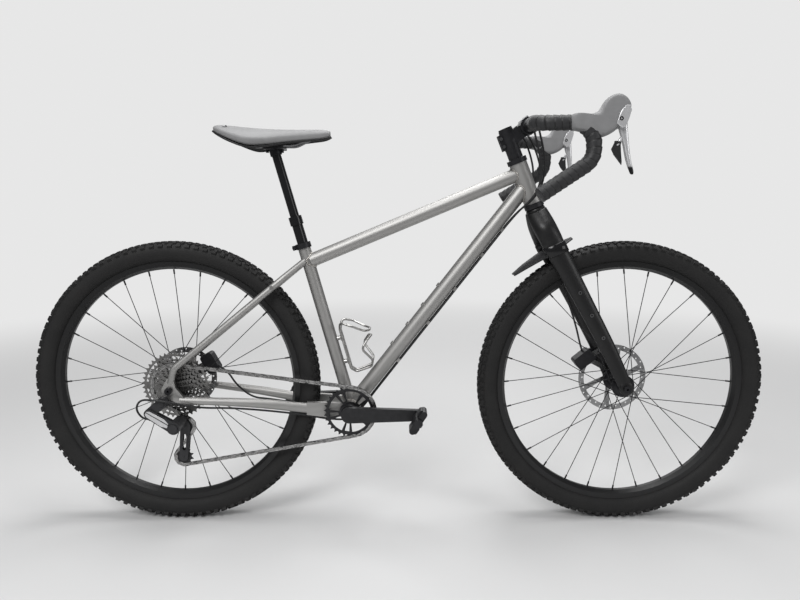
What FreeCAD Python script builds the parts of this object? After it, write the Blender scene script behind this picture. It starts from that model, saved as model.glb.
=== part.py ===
import FreeCAD, Part
import cmath
import math
import os

# Gravel bicycle with drop bar, dropper seatpost and single-ring drivetrain.
# Millimetres. +X forward, +Y to the rider's left, +Z up.
# The origin lies on the ground, midway between the two axles.

V = FreeCAD.Vector
os.makedirs("parts", exist_ok=True)

# Frame geometry
wheelbase = 1146.0
bracket_drop = 65.0
chainstay_reach = 448.0
seat_angle = 74.5
head_angle = 67.5
fork_rake = 41.0
fork_length = 505.0
head_tube_length = 106.0
seat_tube_length = 441.0
top_tube_rise = 22.5
top_tube_below_head_top = 25.0
down_tube_above_head_bottom = 48.0
head_tube_diameter = 44.0
head_tube_wall = 2.0
top_tube_diameter = 34.9
down_tube_diameter = 38.1
seat_tube_diameter = 31.8
frame_tube_wall = 1.0
bracket_shell_diameter = 42.0
bracket_shell_width = 73.0
bracket_shell_wall = 3.0
seatstay_diameter = 17.0
bridge_diameter = 14.0
dropout_thickness = 9.0
rear_spacing = 148.0
front_spacing = 110.0
boss_diameter = 11.0
boss_height = 2.5
boss_thread_radius = 2.5
boss_sink = 3.0
boss_pitch = 64.0

# Wheels
rim_radius = 317.0
rim_depth = 20.0
rim_inner_radius = rim_radius - rim_depth
tyre_height = 51.0
tyre_radius = rim_radius + tyre_height
tyre_width = 57.0
tyre_wall = 3.5
rim_width = 30.0
rim_wall = 2.0
spoke_count = 28
spoke_crossings = 3
spoke_diameter = 2.0
nipple_diameter = 4.2
nipple_length = 12.0
thru_axle_diameter = 12.0
flange_thickness = 3.0
flange_radius = 29.2
spoke_hole_radius = 27.5
front_rotor_diameter = 180.0
rear_rotor_diameter = 160.0
rotor_thickness = 1.8
rotor_track = 14.0
rotor_arms = 6

# Drivetrain
chain_pitch = 12.7
chain_links = 116
roller_diameter = 7.7
chain_pin_diameter = 3.6
chain_plate_height = 8.5
chain_plate = 0.75
chain_inner_width = 2.2
ring_teeth = 32
ring_line = 50.0
cog_teeth = (10, 12, 14, 16, 18, 21, 24, 28, 32, 36, 42)
cog_in_use_teeth = 28
cog_spacing = 3.95
cog_thickness = 1.8
pulley_teeth = 11
cage_length = 82.0
crank_length = 172.0
crank_thickness = 14.0
crank_face = 68.0
spindle_diameter = 24.0
pedal_spindle_diameter = 12.0
pedal_body_width = 54.0
pedal_body_length = 68.0

# Seat and bar
seatpost_diameter = 27.2
stanchion_diameter = 23.0
dropper_travel = 150.0
dropper_collar_height = 22.0
saddle_length = 286.0
saddle_width = 142.0
rail_diameter = 7.0
steerer_diameter = 28.6
stem_reach = 53.0
stem_height = 44.0
spacer_count = 3
spacer_height = 8.6
spacer_diameter = 36.0
bar_clamp_diameter = 31.8
bar_diameter = 23.8
tape_thickness = 5.0
hose_diameter = 5.0

# Clearances
running_fit = 0.05
close_gap = 0.1
side_gap = 0.3
chain_gap = 0.12

# Directions and places that follow from the geometry
ACROSS = V(0, 1, 0)
axle_height = tyre_radius
rear_axle = V(-wheelbase / 2, 0, axle_height)
front_axle = V(wheelbase / 2, 0, axle_height)
bracket = V(rear_axle.x + chainstay_reach, 0, axle_height - bracket_drop)
head_lean = 90 - head_angle
seat_lean = 90 - seat_angle
steer_turn = FreeCAD.Rotation(ACROSS, -head_lean)
seat_turn = FreeCAD.Rotation(ACROSS, -seat_lean)
steer_forward = steer_turn.multVec(V(1, 0, 0))
steer_up = steer_turn.multVec(V(0, 0, 1))
steer_foot = front_axle - steer_forward * fork_rake
steer_place = FreeCAD.Placement(steer_foot, steer_turn)
seat_place = FreeCAD.Placement(bracket, seat_turn)


def on_steerer(forward, side, height):
    """A point given in front of, beside and up the steering axis."""
    return steer_place.multVec(V(forward, side, height))


def on_seat_tube(forward, side, height):
    """A point given in front of, beside and up the seat tube's axis."""
    return seat_place.multVec(V(forward, side, height))


def placed(shape, placement):
    result = shape.copy()
    result.Placement = placement.multiply(result.Placement)
    return result


def mirrored(shape):
    return shape.mirror(V(0, 0, 0), ACROSS)


def both_sides(shape):
    return [shape, mirrored(shape)]


def cylinder(start, end, radius):
    return Part.makeCylinder(radius, start.distanceToPoint(end), start, end - start)


def tube(start, end, diameter, wall):
    outer = cylinder(start, end, diameter / 2)
    return outer.cut(cylinder(start, end, diameter / 2 - wall))


def across(center, low, high, radius):
    """A cylinder along Y, from low to high, about a point's X and Z."""
    return Part.makeCylinder(radius, high - low, V(center.x, low, center.z), ACROSS)


def ring_across(center, low, high, radius, bore):
    return across(center, low, high, radius).cut(across(center, low, high, bore))


def joined(shapes):
    return shapes[0].multiFuse(shapes[1:]).removeSplitter()


def slab(points, low, high):
    """A straight-edged outline in the XZ plane, thick from low to high in Y."""
    outline = [V(x, low, z) for x, z in points]
    wire = Part.makePolygon(outline + outline[:1])
    return Part.Face(wire).extrude(V(0, high - low, 0))


def bar_link(start, end, start_radius, end_radius, low, high):
    """A flat link with two round ends and straight tangent edges."""
    run = V(end.x - start.x, 0, end.z - start.z)
    lean = math.acos((start_radius - end_radius) / run.Length)
    heading = math.atan2(run.z, run.x)

    def rim(center, radius, angle):
        return V(center.x + radius * math.cos(angle), low, center.z + radius * math.sin(angle))

    back = heading + math.pi
    edges = [
        Part.Arc(rim(start, start_radius, heading + lean), rim(start, start_radius, back),
                 rim(start, start_radius, heading - lean)).toShape(),
        Part.LineSegment(rim(start, start_radius, heading - lean),
                         rim(end, end_radius, heading - lean)).toShape(),
        Part.Arc(rim(end, end_radius, heading - lean), rim(end, end_radius, heading),
                 rim(end, end_radius, heading + lean)).toShape(),
        Part.LineSegment(rim(end, end_radius, heading + lean),
                         rim(start, start_radius, heading + lean)).toShape(),
    ]
    return Part.Face(Part.Wire(edges)).extrude(V(0, high - low, 0))


def bent_wire(points, radii):
    """Straight runs joined by tangent arcs."""
    edges = []
    start = points[0]
    for before, corner, after, radius in zip(points, points[1:], points[2:], radii):
        back = (before - corner).normalize()
        ahead = (after - corner).normalize()
        half_angle = back.getAngle(ahead) / 2
        reach = radius / math.tan(half_angle)
        first = corner + back * reach
        last = corner + ahead * reach
        inward = (back + ahead).normalize()
        middle = corner + inward * (radius / math.sin(half_angle) - radius)
        edges.append(Part.LineSegment(start, first).toShape())
        edges.append(Part.Arc(first, middle, last).toShape())
        start = last
    edges.append(Part.LineSegment(start, points[-1]).toShape())
    return Part.Wire(edges)


def bent_rod(points, radii, radius):
    wire = bent_wire(points, radii)
    circle = Part.Circle(points[0], points[1] - points[0], radius)
    return wire.makePipeShell([Part.Wire([circle.toShape()])], True, False)


def cord_radii(points):
    """Arcs as large as the shorter run beside each corner allows."""
    radii = []
    for before, corner, after in zip(points, points[1:], points[2:]):
        run = min(before.distanceToPoint(corner), corner.distanceToPoint(after))
        half_turn = (corner - before).getAngle(after - corner) / 2
        radii.append(0.45 * run / math.tan(half_turn))
    return radii


def hose(points):
    radii = cord_radii(points)
    rod = bent_rod(points, radii, hose_diameter / 2)
    length = rod.Volume / (math.pi * hose_diameter ** 2 / 4)
    print("hose length %.0f mm, least radius %.0f mm" % (length, min(radii)))
    return rod


def oval(center, first, second, first_half, second_half):
    """A closed oval wire whose seam lies along its first direction."""
    normal = first.cross(second)
    matrix = FreeCAD.Matrix(
        first.x * first_half, second.x * second_half, normal.x, center.x,
        first.y * first_half, second.y * second_half, normal.y, center.y,
        first.z * first_half, second.z * second_half, normal.z, center.z, 0, 0, 0, 1)
    circle = Part.Circle(V(0, 0, 0), V(0, 0, 1), 1).toShape()
    return Part.Wire([circle.transformGeometry(matrix)])


def turned_about_axle(axle, outline):
    """Revolves a wire drawn in radius and Y about an axle along Y."""
    face = Part.Face(outline)
    face.translate(axle)
    return face.revolve(axle, ACROSS, 360)


def radial_polygon(points):
    corners = [V(0, y, r) for r, y in points]
    return Part.makePolygon(corners + corners[:1])


def saved(name, *shapes):
    """Writes one node, a group where it has several solids."""
    solids = []
    for shape in shapes:
        solids += shape.Solids
    if len(solids) == 1:
        whole = solids[0]
    else:
        whole = Part.makeCompound(solids)
    whole.exportStep("parts/%s.step" % name)
    print("%-24s %3d solids %9.1f cm3" % (name, len(solids), whole.Volume / 1000))


# Main tubes: the head tube stands between the headset cups, and each other tube
# is mitred to the outside of the tube that it is welded to.
cup_height = 12.0
head_bottom_height = fork_length + cup_height + 2 * side_gap
head_top_height = head_bottom_height + head_tube_length
head_bottom = on_steerer(0, 0, head_bottom_height)
head_top = on_steerer(0, 0, head_top_height)
seat_top = on_seat_tube(0, 0, seat_tube_length)
top_tube_front = on_steerer(0, 0, head_top_height - top_tube_below_head_top)
down_tube_front = on_steerer(0, 0, head_bottom_height + down_tube_above_head_bottom)

top_run = V(-math.cos(math.radians(top_tube_rise)), 0, -math.sin(math.radians(top_tube_rise)))
seat_up = seat_turn.multVec(V(0, 0, 1))
crossing = top_tube_front - bracket
denominator = top_run.x * seat_up.z - top_run.z * seat_up.x
top_tube_length = (crossing.z * seat_up.x - crossing.x * seat_up.z) / denominator
top_tube_back = top_tube_front + top_run * (top_tube_length - seat_tube_diameter / 4)
down_up = (down_tube_front - bracket).normalize()
down_side = V(down_up.z, 0, -down_up.x)
down_tube_length = (down_tube_front - bracket).Length

seat_tube_wall = (seat_tube_diameter - seatpost_diameter) / 2 - close_gap
head_outside = cylinder(head_bottom, head_top, head_tube_diameter / 2)
shell_outside = across(bracket, -bracket_shell_width / 2, bracket_shell_width / 2, bracket_shell_diameter / 2)
seat_outside = cylinder(bracket, seat_top, seat_tube_diameter / 2)
down_outside = cylinder(bracket, down_tube_front, down_tube_diameter / 2)
top_outside = cylinder(top_tube_front, top_tube_back, top_tube_diameter / 2)

head_tube = tube(head_bottom, head_top, head_tube_diameter, head_tube_wall)
top_tube = tube(top_tube_front, top_tube_back, top_tube_diameter, frame_tube_wall)
top_tube = top_tube.cut(head_outside).cut(seat_outside)
down_tube = tube(bracket, down_tube_front, down_tube_diameter, frame_tube_wall)
down_tube = down_tube.cut(head_outside).cut(shell_outside).cut(top_outside)
seat_tube = tube(bracket, seat_top, seat_tube_diameter, seat_tube_wall)
seat_tube = seat_tube.cut(shell_outside).cut(down_outside)
bracket_shell = ring_across(bracket, -bracket_shell_width / 2, bracket_shell_width / 2,
                            bracket_shell_diameter / 2, bracket_shell_diameter / 2 - bracket_shell_wall)
saved("head_tube", head_tube)
saved("top_tube", top_tube)
down_radius = down_tube_diameter / 2
down_boss_start = 200.0
down_boss_bases = [bracket + down_up * (down_boss_start + boss_pitch * step) - down_side * down_radius
                   for step in range(4)]
for base in down_boss_bases:
    boss_hole = cylinder(base + down_side * boss_sink * 2, base - down_side * boss_height, boss_diameter / 2)
    down_tube = down_tube.cut(boss_hole)
saved("down_tube", down_tube)
saved("seat_tube", seat_tube)
saved("bottom_bracket_shell", bracket_shell)

# Dropouts: flat plates that hold the rear axle, the right one with the hanger for the
# derailleur and the left one with the tab for the brake caliper.
dropout_inner = rear_spacing / 2
dropout_outer = dropout_inner + dropout_thickness
axle_eye_radius = 18.0
hanger_bolt = rear_axle + V(-13, 0, -27)
chainstay_end = rear_axle + V(30, 0, -26)
seatstay_end = rear_axle + V(4, 0, 24)
rear_caliper_spot = rear_axle + V(64, 0, 34)


def dropout_plate(extra_spot, extra_radius):
    eye = across(rear_axle, dropout_inner, dropout_outer, axle_eye_radius)
    arms = [
        bar_link(rear_axle, chainstay_end, axle_eye_radius, 10.5, dropout_inner, dropout_outer),
        bar_link(rear_axle, seatstay_end, axle_eye_radius, 9.5, dropout_inner, dropout_outer),
        bar_link(rear_axle, extra_spot, axle_eye_radius - 5, extra_radius, dropout_inner, dropout_outer),
    ]
    bore = across(rear_axle, dropout_inner, dropout_outer, thru_axle_diameter / 2 + running_fit)
    return joined([eye] + arms).cut(bore)


left_dropout = dropout_plate(rear_caliper_spot, 11.0)
right_dropout = mirrored(dropout_plate(hanger_bolt, 11.0))
hanger_thread_radius = 5.0
right_dropout = right_dropout.cut(across(hanger_bolt, -dropout_outer, -dropout_inner, hanger_thread_radius))
saved("dropouts", left_dropout, right_dropout)

# Chainstays: tapered tubes that bow round the tyre, carried by two flat yokes
# behind the bottom bracket shell.
yoke_back = bracket.x - 111.0
stay_stations = (
    (yoke_back, 39.5, bracket.z + 7.0, 6.5, 13.5),
    (yoke_back - 54, 43.5, bracket.z + 14.0, 8.5, 12.8),
    (yoke_back - 117, 52.0, bracket.z + 22.8, 10.5, 11.9),
    (yoke_back - 194, 63.0, bracket.z + 30.5, 10.5, 10.5),
    (yoke_back - 264, 73.0, bracket.z + 36.0, 9.3, 9.3),
    (chainstay_end.x - 4, dropout_inner + dropout_thickness / 2, chainstay_end.z, 8.0, 9.0),
)
stay_sections = [oval(V(x, y, z), ACROSS, V(0, 0, 1), half_width, half_height)
                 for x, y, z, half_width, half_height in stay_stations]
left_chainstay = Part.makeLoft(stay_sections, True, False).cut(left_dropout)
left_chainstay = max(left_chainstay.Solids, key=lambda solid: solid.Volume)


def yoke_section(x, low, high, bottom, top):
    corners = [V(x, low, bottom), V(x, high, bottom), V(x, high, top), V(x, low, top)]
    return Part.makePolygon(corners + corners[:1])


first_stay = stay_stations[0]
yoke_half_height = first_stay[4] + 3.0
yoke_front_half = bracket_shell_width / 2 - 1.0
left_yoke = Part.makeLoft([
    yoke_section(yoke_back, first_stay[1] - 6, first_stay[1] + 6.5,
                 first_stay[2] - yoke_half_height, first_stay[2] + yoke_half_height),
    yoke_section(bracket.x - 50, 29, first_stay[1] + 2, bracket.z - 19, bracket.z + 21),
    yoke_section(bracket.x, yoke_front_half - 11, yoke_front_half, bracket.z - 15, bracket.z + 15),
], True, True)
cup_room = across(bracket, bracket_shell_width / 2 - 0.5, bracket_shell_width, bracket_shell_diameter / 2 + 2.5)
left_yoke = left_yoke.cut(shell_outside).cut(cup_room)
left_yoke = max(left_yoke.Solids, key=lambda solid: solid.Volume)
saved("chainstays", *(both_sides(left_chainstay) + both_sides(left_yoke)))

# Seatstays: thin tubes from the back of the seat tube, spread round the tyre, kinked
# just above the dropouts and joined by a short bridge.
seatstay_root = on_seat_tube(-6, 10, 399)
seatstay_bow = rear_axle + V(281, 43, 274)
seatstay_kink = rear_axle + V(12, 76.5, 54)
seatstay_foot = V(seatstay_end.x, dropout_inner + dropout_thickness / 2, seatstay_end.z - 6)
left_seatstay = bent_rod([seatstay_root, seatstay_bow, seatstay_kink, seatstay_foot],
                         [110.0, 28.0], seatstay_diameter / 2)
left_seatstay = left_seatstay.cut(seat_outside).cut(left_dropout)
left_seatstay = max(left_seatstay.Solids, key=lambda solid: solid.Volume)
bridge_spot = seatstay_bow + V(12, 0, 10)
bridge = tube(V(bridge_spot.x, -seatstay_bow.y, bridge_spot.z), V(bridge_spot.x, seatstay_bow.y, bridge_spot.z),
              bridge_diameter, frame_tube_wall)
bridge = bridge.cut(left_seatstay).cut(mirrored(left_seatstay))
bridge = max(bridge.Solids, key=lambda solid: solid.Volume)
saved("seatstays", *(both_sides(left_seatstay) + [bridge]))

# Threaded bosses and hose guides on the frame: rows on the down tube for bottles and
# bags, one pair on the seat tube for the bottle cage, and one on each seatstay.


def boss(base, outward, height):
    """A round threaded boss that passes through the wall of its tube."""
    foot = base - outward * boss_sink
    mouth = base + outward * height
    body = cylinder(foot, mouth, boss_diameter / 2)
    return body.cut(cylinder(foot, mouth, boss_thread_radius))


def guide(base, outward, along):
    """A small block with two half-round channels that hold two hoses on a tube."""
    width = 24.0
    depth = 10.0
    height = hose_diameter + 1.0
    turn = FreeCAD.Rotation(along, outward.cross(along), outward, "ZXY")
    block = Part.makeBox(depth, width, height + 2, V(-depth / 2, -width / 2, -2))
    for side in (-hose_line, hose_line):
        channel = cylinder(V(-depth, side, hose_lift), V(depth, side, hose_lift), hose_diameter / 2 + close_gap)
        block = block.cut(channel)
    return placed(block, FreeCAD.Placement(base, turn))


hose_line = 7.0
hose_lift = hose_diameter / 2 + 1.5
guide_steps = [175.0, 300.0, 410.0, 520.0, down_tube_length - 124.0]
frame_pieces = []
down_boss_mouths = []
for base in down_boss_bases:
    frame_pieces.append(boss(base, down_side * -1, boss_height))
    down_boss_mouths.append(base - down_side * boss_height)
for step in guide_steps:
    base = bracket + down_up * step + down_side * down_radius
    frame_pieces.append(guide(base, down_side, down_up).cut(down_outside))

seat_radius = seat_tube_diameter / 2
cage_boss_heights = (120.0, 120.0 + boss_pitch)
cage_standoff = 9.0
for height in cage_boss_heights:
    seat_forward = seat_turn.multVec(V(1, 0, 0))
    base = on_seat_tube(seat_radius, 0, height)
    post = cylinder(base - seat_forward * 4, base + seat_forward * cage_standoff, boss_diameter / 2)
    head = cylinder(base + seat_forward * (cage_standoff + 2), base + seat_forward * (cage_standoff + 5), 4.5)
    shank = cylinder(base + seat_forward * cage_standoff, base + seat_forward * (cage_standoff + 3), 2.5)
    bolt = joined([post, shank, head])
    frame_pieces.append(bolt.cut(seat_outside))

stay_line = (seatstay_kink - seatstay_bow).normalize()
rack_spot = seatstay_bow + stay_line * 30
rack_face = rack_spot.y + seatstay_diameter / 2
rack_boss = across(rack_spot, rack_face - 2.5, rack_face + 3, 5.0)
rack_boss = rack_boss.cut(left_seatstay)
rack_boss = max(rack_boss.Solids, key=lambda solid: solid.Volume)
frame_pieces += both_sides(rack_boss)
saved("frame_bosses", *frame_pieces)

# Seat collar: a split ring with a bolt ear behind, round the top of the seat tube.
collar_height = 14.0
collar_wall = 3.5
collar_low = seat_tube_length - collar_height + 3
collar = tube(V(0, 0, collar_low), V(0, 0, collar_low + collar_height),
              seat_tube_diameter + 2 * collar_wall, collar_wall - close_gap)
ear = Part.makeBox(10, 16, collar_height - 2,
                   V(-seat_radius - collar_wall - 8, -8, collar_low + 1))
ear = ear.cut(cylinder(V(0, 0, 0), V(0, 0, 2 * seat_tube_length), seat_radius + collar_wall - 1))
slit = Part.makeBox(20, 2, collar_height + 2, V(-seat_radius - collar_wall - 12, -1, collar_low - 1))
collar = joined([collar, ear]).cut(slit)
ear_spot = V(-seat_radius - collar_wall - 4, 0, collar_low + collar_height / 2)
collar_bolt = across(ear_spot, -10, 10, 2.5)
collar_bolt = joined([collar_bolt, across(ear_spot, -13, -8, 4.2), across(ear_spot, 8, 11, 4.2)])
collar = collar.cut(across(ear_spot, -8, 8, 2.5 + close_gap))
saved("seat_collar", placed(collar, seat_place), placed(collar_bolt, seat_place))

# Headset: two outboard cups with a bearing in each.
cup_diameter = head_tube_diameter + 5.5
bearing_diameter = 41.0
steerer_bore = steerer_diameter / 2 + running_fit


def headset_cup(outer_end, inner_end, spigot_end):
    step = 1 if inner_end > outer_end else -1
    body = tube(V(0, 0, outer_end), V(0, 0, inner_end), cup_diameter, cup_diameter / 2 - bearing_diameter / 2)
    lid = tube(V(0, 0, inner_end - step * 2), V(0, 0, inner_end), bearing_diameter + 1, 5.0)
    sleeve_diameter = head_tube_diameter - 2 * head_tube_wall - 2 * close_gap
    sleeve = tube(V(0, 0, inner_end), V(0, 0, spigot_end), sleeve_diameter, 2.0)
    bearing = tube(V(0, 0, outer_end + step), V(0, 0, inner_end - step * 2.2),
                   bearing_diameter - 2 * close_gap, bearing_diameter / 2 - steerer_bore - close_gap)
    return [joined([body, lid, sleeve]), bearing]


lower_cup = headset_cup(head_bottom_height - cup_height, head_bottom_height, head_bottom_height + 12)
upper_cup = headset_cup(head_top_height + cup_height, head_top_height, head_top_height - 12)
saved("headset_cups", *[placed(piece, steer_place) for piece in lower_cup + upper_cup])

# Bottom bracket cups: threaded outboard bearings on both ends of the shell.
cup_reach = 10.0
shell_half = bracket_shell_width / 2
cup_outer = ring_across(bracket, shell_half, shell_half + cup_reach, bracket_shell_diameter / 2 + 0.8,
                        spindle_diameter / 2 + running_fit)
cup_spigot_radius = bracket_shell_diameter / 2 - bracket_shell_wall - close_gap
cup_spigot = ring_across(bracket, shell_half - 14, shell_half, cup_spigot_radius,
                         spindle_diameter / 2 + 3)
left_cup = joined([cup_outer, cup_spigot])
notch_count = 16
for notch in range(notch_count):
    angle = 2 * math.pi * notch / notch_count
    spot = bracket + V(math.cos(angle), 0, math.sin(angle)) * (bracket_shell_diameter / 2 + 1.2)
    left_cup = left_cup.cut(across(spot, shell_half + 3, shell_half + cup_reach, 1.6))
saved("bottom_bracket_cups", *both_sides(left_cup))


# Wheels: a hooked tubeless rim, crossed round spokes and a tyre with a rounded tread.


def make_tyre(axle):
    bead = rim_width / 2 - 1.0
    middle = (rim_radius + tyre_radius) / 2 - 2
    shoulder = tyre_radius - 9
    half = tyre_width / 2

    def arc(a, b, c):
        return Part.Arc(V(0, a[1], a[0]), V(0, b[1], b[0]), V(0, c[1], c[0])).toShape()

    def line(a, b):
        return Part.LineSegment(V(0, a[1], a[0]), V(0, b[1], b[0])).toShape()

    inner_bead = bead - tyre_wall
    inner_half = half - tyre_wall
    inner_shoulder = shoulder - tyre_wall
    edges = [
        arc((rim_radius, bead), (middle, half), (shoulder, half - 4)),
        arc((shoulder, half - 4), (tyre_radius, 0), (shoulder, 4 - half)),
        arc((shoulder, 4 - half), (middle, -half), (rim_radius, -bead)),
        line((rim_radius, -bead), (rim_radius, -inner_bead)),
        arc((rim_radius, -inner_bead), (middle, -inner_half), (inner_shoulder, 4 - inner_half)),
        arc((inner_shoulder, 4 - inner_half), (tyre_radius - 2 * tyre_wall, 0), (inner_shoulder, inner_half - 4)),
        arc((inner_shoulder, inner_half - 4), (middle, inner_half), (rim_radius, inner_bead)),
        line((rim_radius, inner_bead), (rim_radius, bead)),
    ]
    return turned_about_axle(axle, Part.Wire(edges))


def make_rim(axle):
    half = rim_width / 2
    bed = rim_radius - 7
    outline = radial_polygon([
        (rim_radius, half), (rim_radius, half - 2.5), (bed, half - 3), (bed - 3, 6), (bed - 3, -6),
        (bed, 3 - half), (rim_radius, 2.5 - half), (rim_radius, -half), (rim_inner_radius + 7, -half),
        (rim_inner_radius, -5), (rim_inner_radius, 5), (rim_inner_radius + 7, half)])
    hollow = radial_polygon([
        (bed - rim_wall, half - rim_wall - 1.5), (bed - 3 - rim_wall, 6), (bed - 3 - rim_wall, -6),
        (bed - rim_wall, 1.5 + rim_wall - half), (rim_inner_radius + 7, rim_wall - half),
        (rim_inner_radius + rim_wall, -4), (rim_inner_radius + rim_wall, 4),
        (rim_inner_radius + 7, half - rim_wall)])
    return turned_about_axle(axle, outline).cut(turned_about_axle(axle, hollow))


def make_spokes(axle, left_flange, right_flange):
    per_side = spoke_count // 2
    lacing = math.radians(spoke_crossings * 720 / spoke_count)
    hub_step = flange_thickness / 2 + spoke_diameter / 2 + close_gap
    rim_offset = 2.5
    flange_chord = math.sqrt(flange_radius ** 2 - spoke_hole_radius ** 2) + 2
    spokes = []
    for side, flange in ((1, left_flange), (-1, right_flange)):
        for number in range(per_side):
            lead = 1 if number % 2 == 0 else -1
            rim_angle = 2 * math.pi * (number + (0.5 if side < 0 else 0)) / per_side
            hub_angle = rim_angle + lead * lacing
            lean = (abs(flange) - rim_offset) / rim_inner_radius * flange_chord + close_gap
            hub_y = flange + side * lead * hub_step + (side * lean if lead > 0 else 0)
            hub_point = axle + V(math.cos(hub_angle) * spoke_hole_radius, hub_y,
                                 math.sin(hub_angle) * spoke_hole_radius)
            rim_point = axle + V(math.cos(rim_angle) * rim_inner_radius, side * rim_offset,
                                 math.sin(rim_angle) * rim_inner_radius)
            aim = (rim_point - hub_point).normalize()
            rim_point = rim_point - aim * (side_gap + 0.4)
            shank = cylinder(hub_point - aim * 3, rim_point, spoke_diameter / 2)
            nipple = cylinder(rim_point - aim * nipple_length, rim_point, nipple_diameter / 2)
            spokes.append(shank.fuse(nipple).removeSplitter())
    return spokes


def make_hub(axle, half_width, left_flange, right_flange, rotor_seat, core_radius, shell_radius, right_end):
    half = flange_thickness / 2
    bore = thru_axle_diameter / 2 + running_fit
    outline = radial_polygon([
        (bore, -half_width), (core_radius, -half_width), (core_radius, right_end),
        (flange_radius - 8, right_flange - half), (flange_radius, right_flange - half),
        (flange_radius, right_flange + half), (flange_radius - 10, right_flange + half),
        (shell_radius, right_flange + half + 7), (shell_radius, left_flange - half - 7),
        (flange_radius - 10, left_flange - half), (flange_radius, left_flange - half),
        (flange_radius, left_flange + half), (shell_radius + 3, left_flange + half),
        (shell_radius + 3, rotor_seat), (core_radius + 4, rotor_seat), (core_radius + 2, half_width),
        (bore, half_width)])
    return turned_about_axle(axle, outline)


def make_rotor(axle, diameter, low, bore):
    """A brake disc with a drilled track, swept arms and a mounting ring."""
    outer = diameter / 2
    disc = ring_across(axle, low, low + rotor_thickness, outer, bore)
    arm_inner = bore + 9
    arm_outer = outer - rotor_track
    cuts = []
    for arm in range(rotor_arms):
        start = 2 * math.pi * arm / rotor_arms
        width = 2 * math.pi / rotor_arms
        sweep = 0.35

        def spot(radius, angle):
            return V(axle.x + radius * math.cos(angle), low, axle.z + radius * math.sin(angle))

        a = spot(arm_inner, start + 0.28)
        b = spot(arm_inner, start + width / 2 + 0.06)
        c = spot(arm_inner, start + width - 0.16)
        d = spot(arm_outer, start + width - 0.08 + sweep)
        e = spot(arm_outer, start + width / 2 + 0.02 + sweep)
        f = spot(arm_outer, start + 0.12 + sweep)
        edges = [Part.Arc(a, b, c).toShape(), Part.LineSegment(c, d).toShape(),
                 Part.Arc(d, e, f).toShape(), Part.LineSegment(f, a).toShape()]
        cuts.append(Part.Face(Part.Wire(edges)).extrude(V(0, rotor_thickness, 0)))
    hole_count = 6 * rotor_arms
    for hole in range(hole_count):
        angle = 2 * math.pi * hole / hole_count
        radius = outer - rotor_track * (0.3 if hole % 2 else 0.68)
        cuts.append(across(axle + V(math.cos(angle) * radius, 0, math.sin(angle) * radius),
                           low, low + rotor_thickness, 2.2))
    return disc.cut(Part.makeCompound(cuts))


def make_thru_axle(axle, half_width):
    rod = across(axle, -half_width - 7, half_width + 2, thru_axle_diameter / 2)
    head = across(axle, -half_width - 7, -half_width, thru_axle_diameter / 2 + 3)
    socket = across(axle, -half_width - 7, -half_width - 2, 3.0)
    return joined([rod, head]).cut(socket)


front_half = front_spacing / 2 - side_gap
front_rotor_seat = front_spacing / 2 - 11.5
front_left_flange = 27.0
front_right_flange = -40.0
front_hub = make_hub(front_axle, front_half, front_left_flange, front_right_flange, front_rotor_seat,
                     10.0, 14.0, front_right_flange - 3)
saved("front_tyre", make_tyre(front_axle))
saved("front_rim", make_rim(front_axle))
saved("front_spokes", *make_spokes(front_axle, front_left_flange, front_right_flange))
saved("front_hub", front_hub)
saved("front_rotor", make_rotor(front_axle, front_rotor_diameter, front_rotor_seat, 15.0))

rear_half = rear_spacing / 2 - side_gap
rear_rotor_seat = rear_spacing / 2 - 16.5
rear_left_flange = 38.0
rear_right_flange = -20.5
driver_start = rear_right_flange - 5.5
rear_hub = make_hub(rear_axle, rear_half, rear_left_flange, rear_right_flange, rear_rotor_seat,
                    10.0, 16.0, driver_start + 0.5)
saved("rear_tyre", make_tyre(rear_axle))
saved("rear_rim", make_rim(rear_axle))
saved("rear_spokes", *make_spokes(rear_axle, rear_left_flange, rear_right_flange))
saved("rear_hub", rear_hub)
saved("rear_rotor", make_rotor(rear_axle, rear_rotor_diameter, rear_rotor_seat, 15.0))
saved("rear_thru_axle", make_thru_axle(rear_axle, dropout_outer))

# Chain line: the chain runs over the cog in use, the ring and the two pulleys.


def pitch_radius(teeth):
    return chain_pitch / (2 * math.sin(math.pi / teeth))


cog_number = cog_teeth.index(cog_in_use_teeth)
outer_cog_line = rear_spacing / 2 - 5.5
cog_line = -outer_cog_line + cog_spacing * cog_number
guide_spot = complex(rear_axle.x + 24, rear_axle.z - 106)


def chain_wheels(cage_angle):
    tension_spot = guide_spot + cage_length * cmath.exp(1j * cage_angle)
    return [
        (complex(rear_axle.x, rear_axle.z), cog_in_use_teeth, 1, cog_line),
        (complex(bracket.x, bracket.z), ring_teeth, 1, -ring_line),
        (tension_spot, pulley_teeth, 1, cog_line),
        (guide_spot, pulley_teeth, -1, cog_line),
    ]


def chain_runs(wheels):
    """The straight runs from each wheel to the next: direction and length."""
    runs = []
    for number, (center, teeth, sense, line) in enumerate(wheels):
        next_center, next_teeth, next_sense, next_line = wheels[(number + 1) % len(wheels)]
        span = next_center - center
        offset = next_sense * pitch_radius(next_teeth) - sense * pitch_radius(teeth)
        length = math.sqrt(abs(span) ** 2 - offset ** 2)
        runs.append((span / complex(length, -offset), length))
    return runs


def wrap_angle(wheels, runs, number):
    turn = cmath.phase(runs[number][0] / runs[number - 1][0])
    return (-turn * wheels[number][2]) % (2 * math.pi)


def links_needed(cage_angle):
    wheels = chain_wheels(cage_angle)
    runs = chain_runs(wheels)
    total = sum(length for direction, length in runs) / chain_pitch
    for number, wheel in enumerate(wheels):
        total += wrap_angle(wheels, runs, number) * wheel[1] / (2 * math.pi)
    return total


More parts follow.
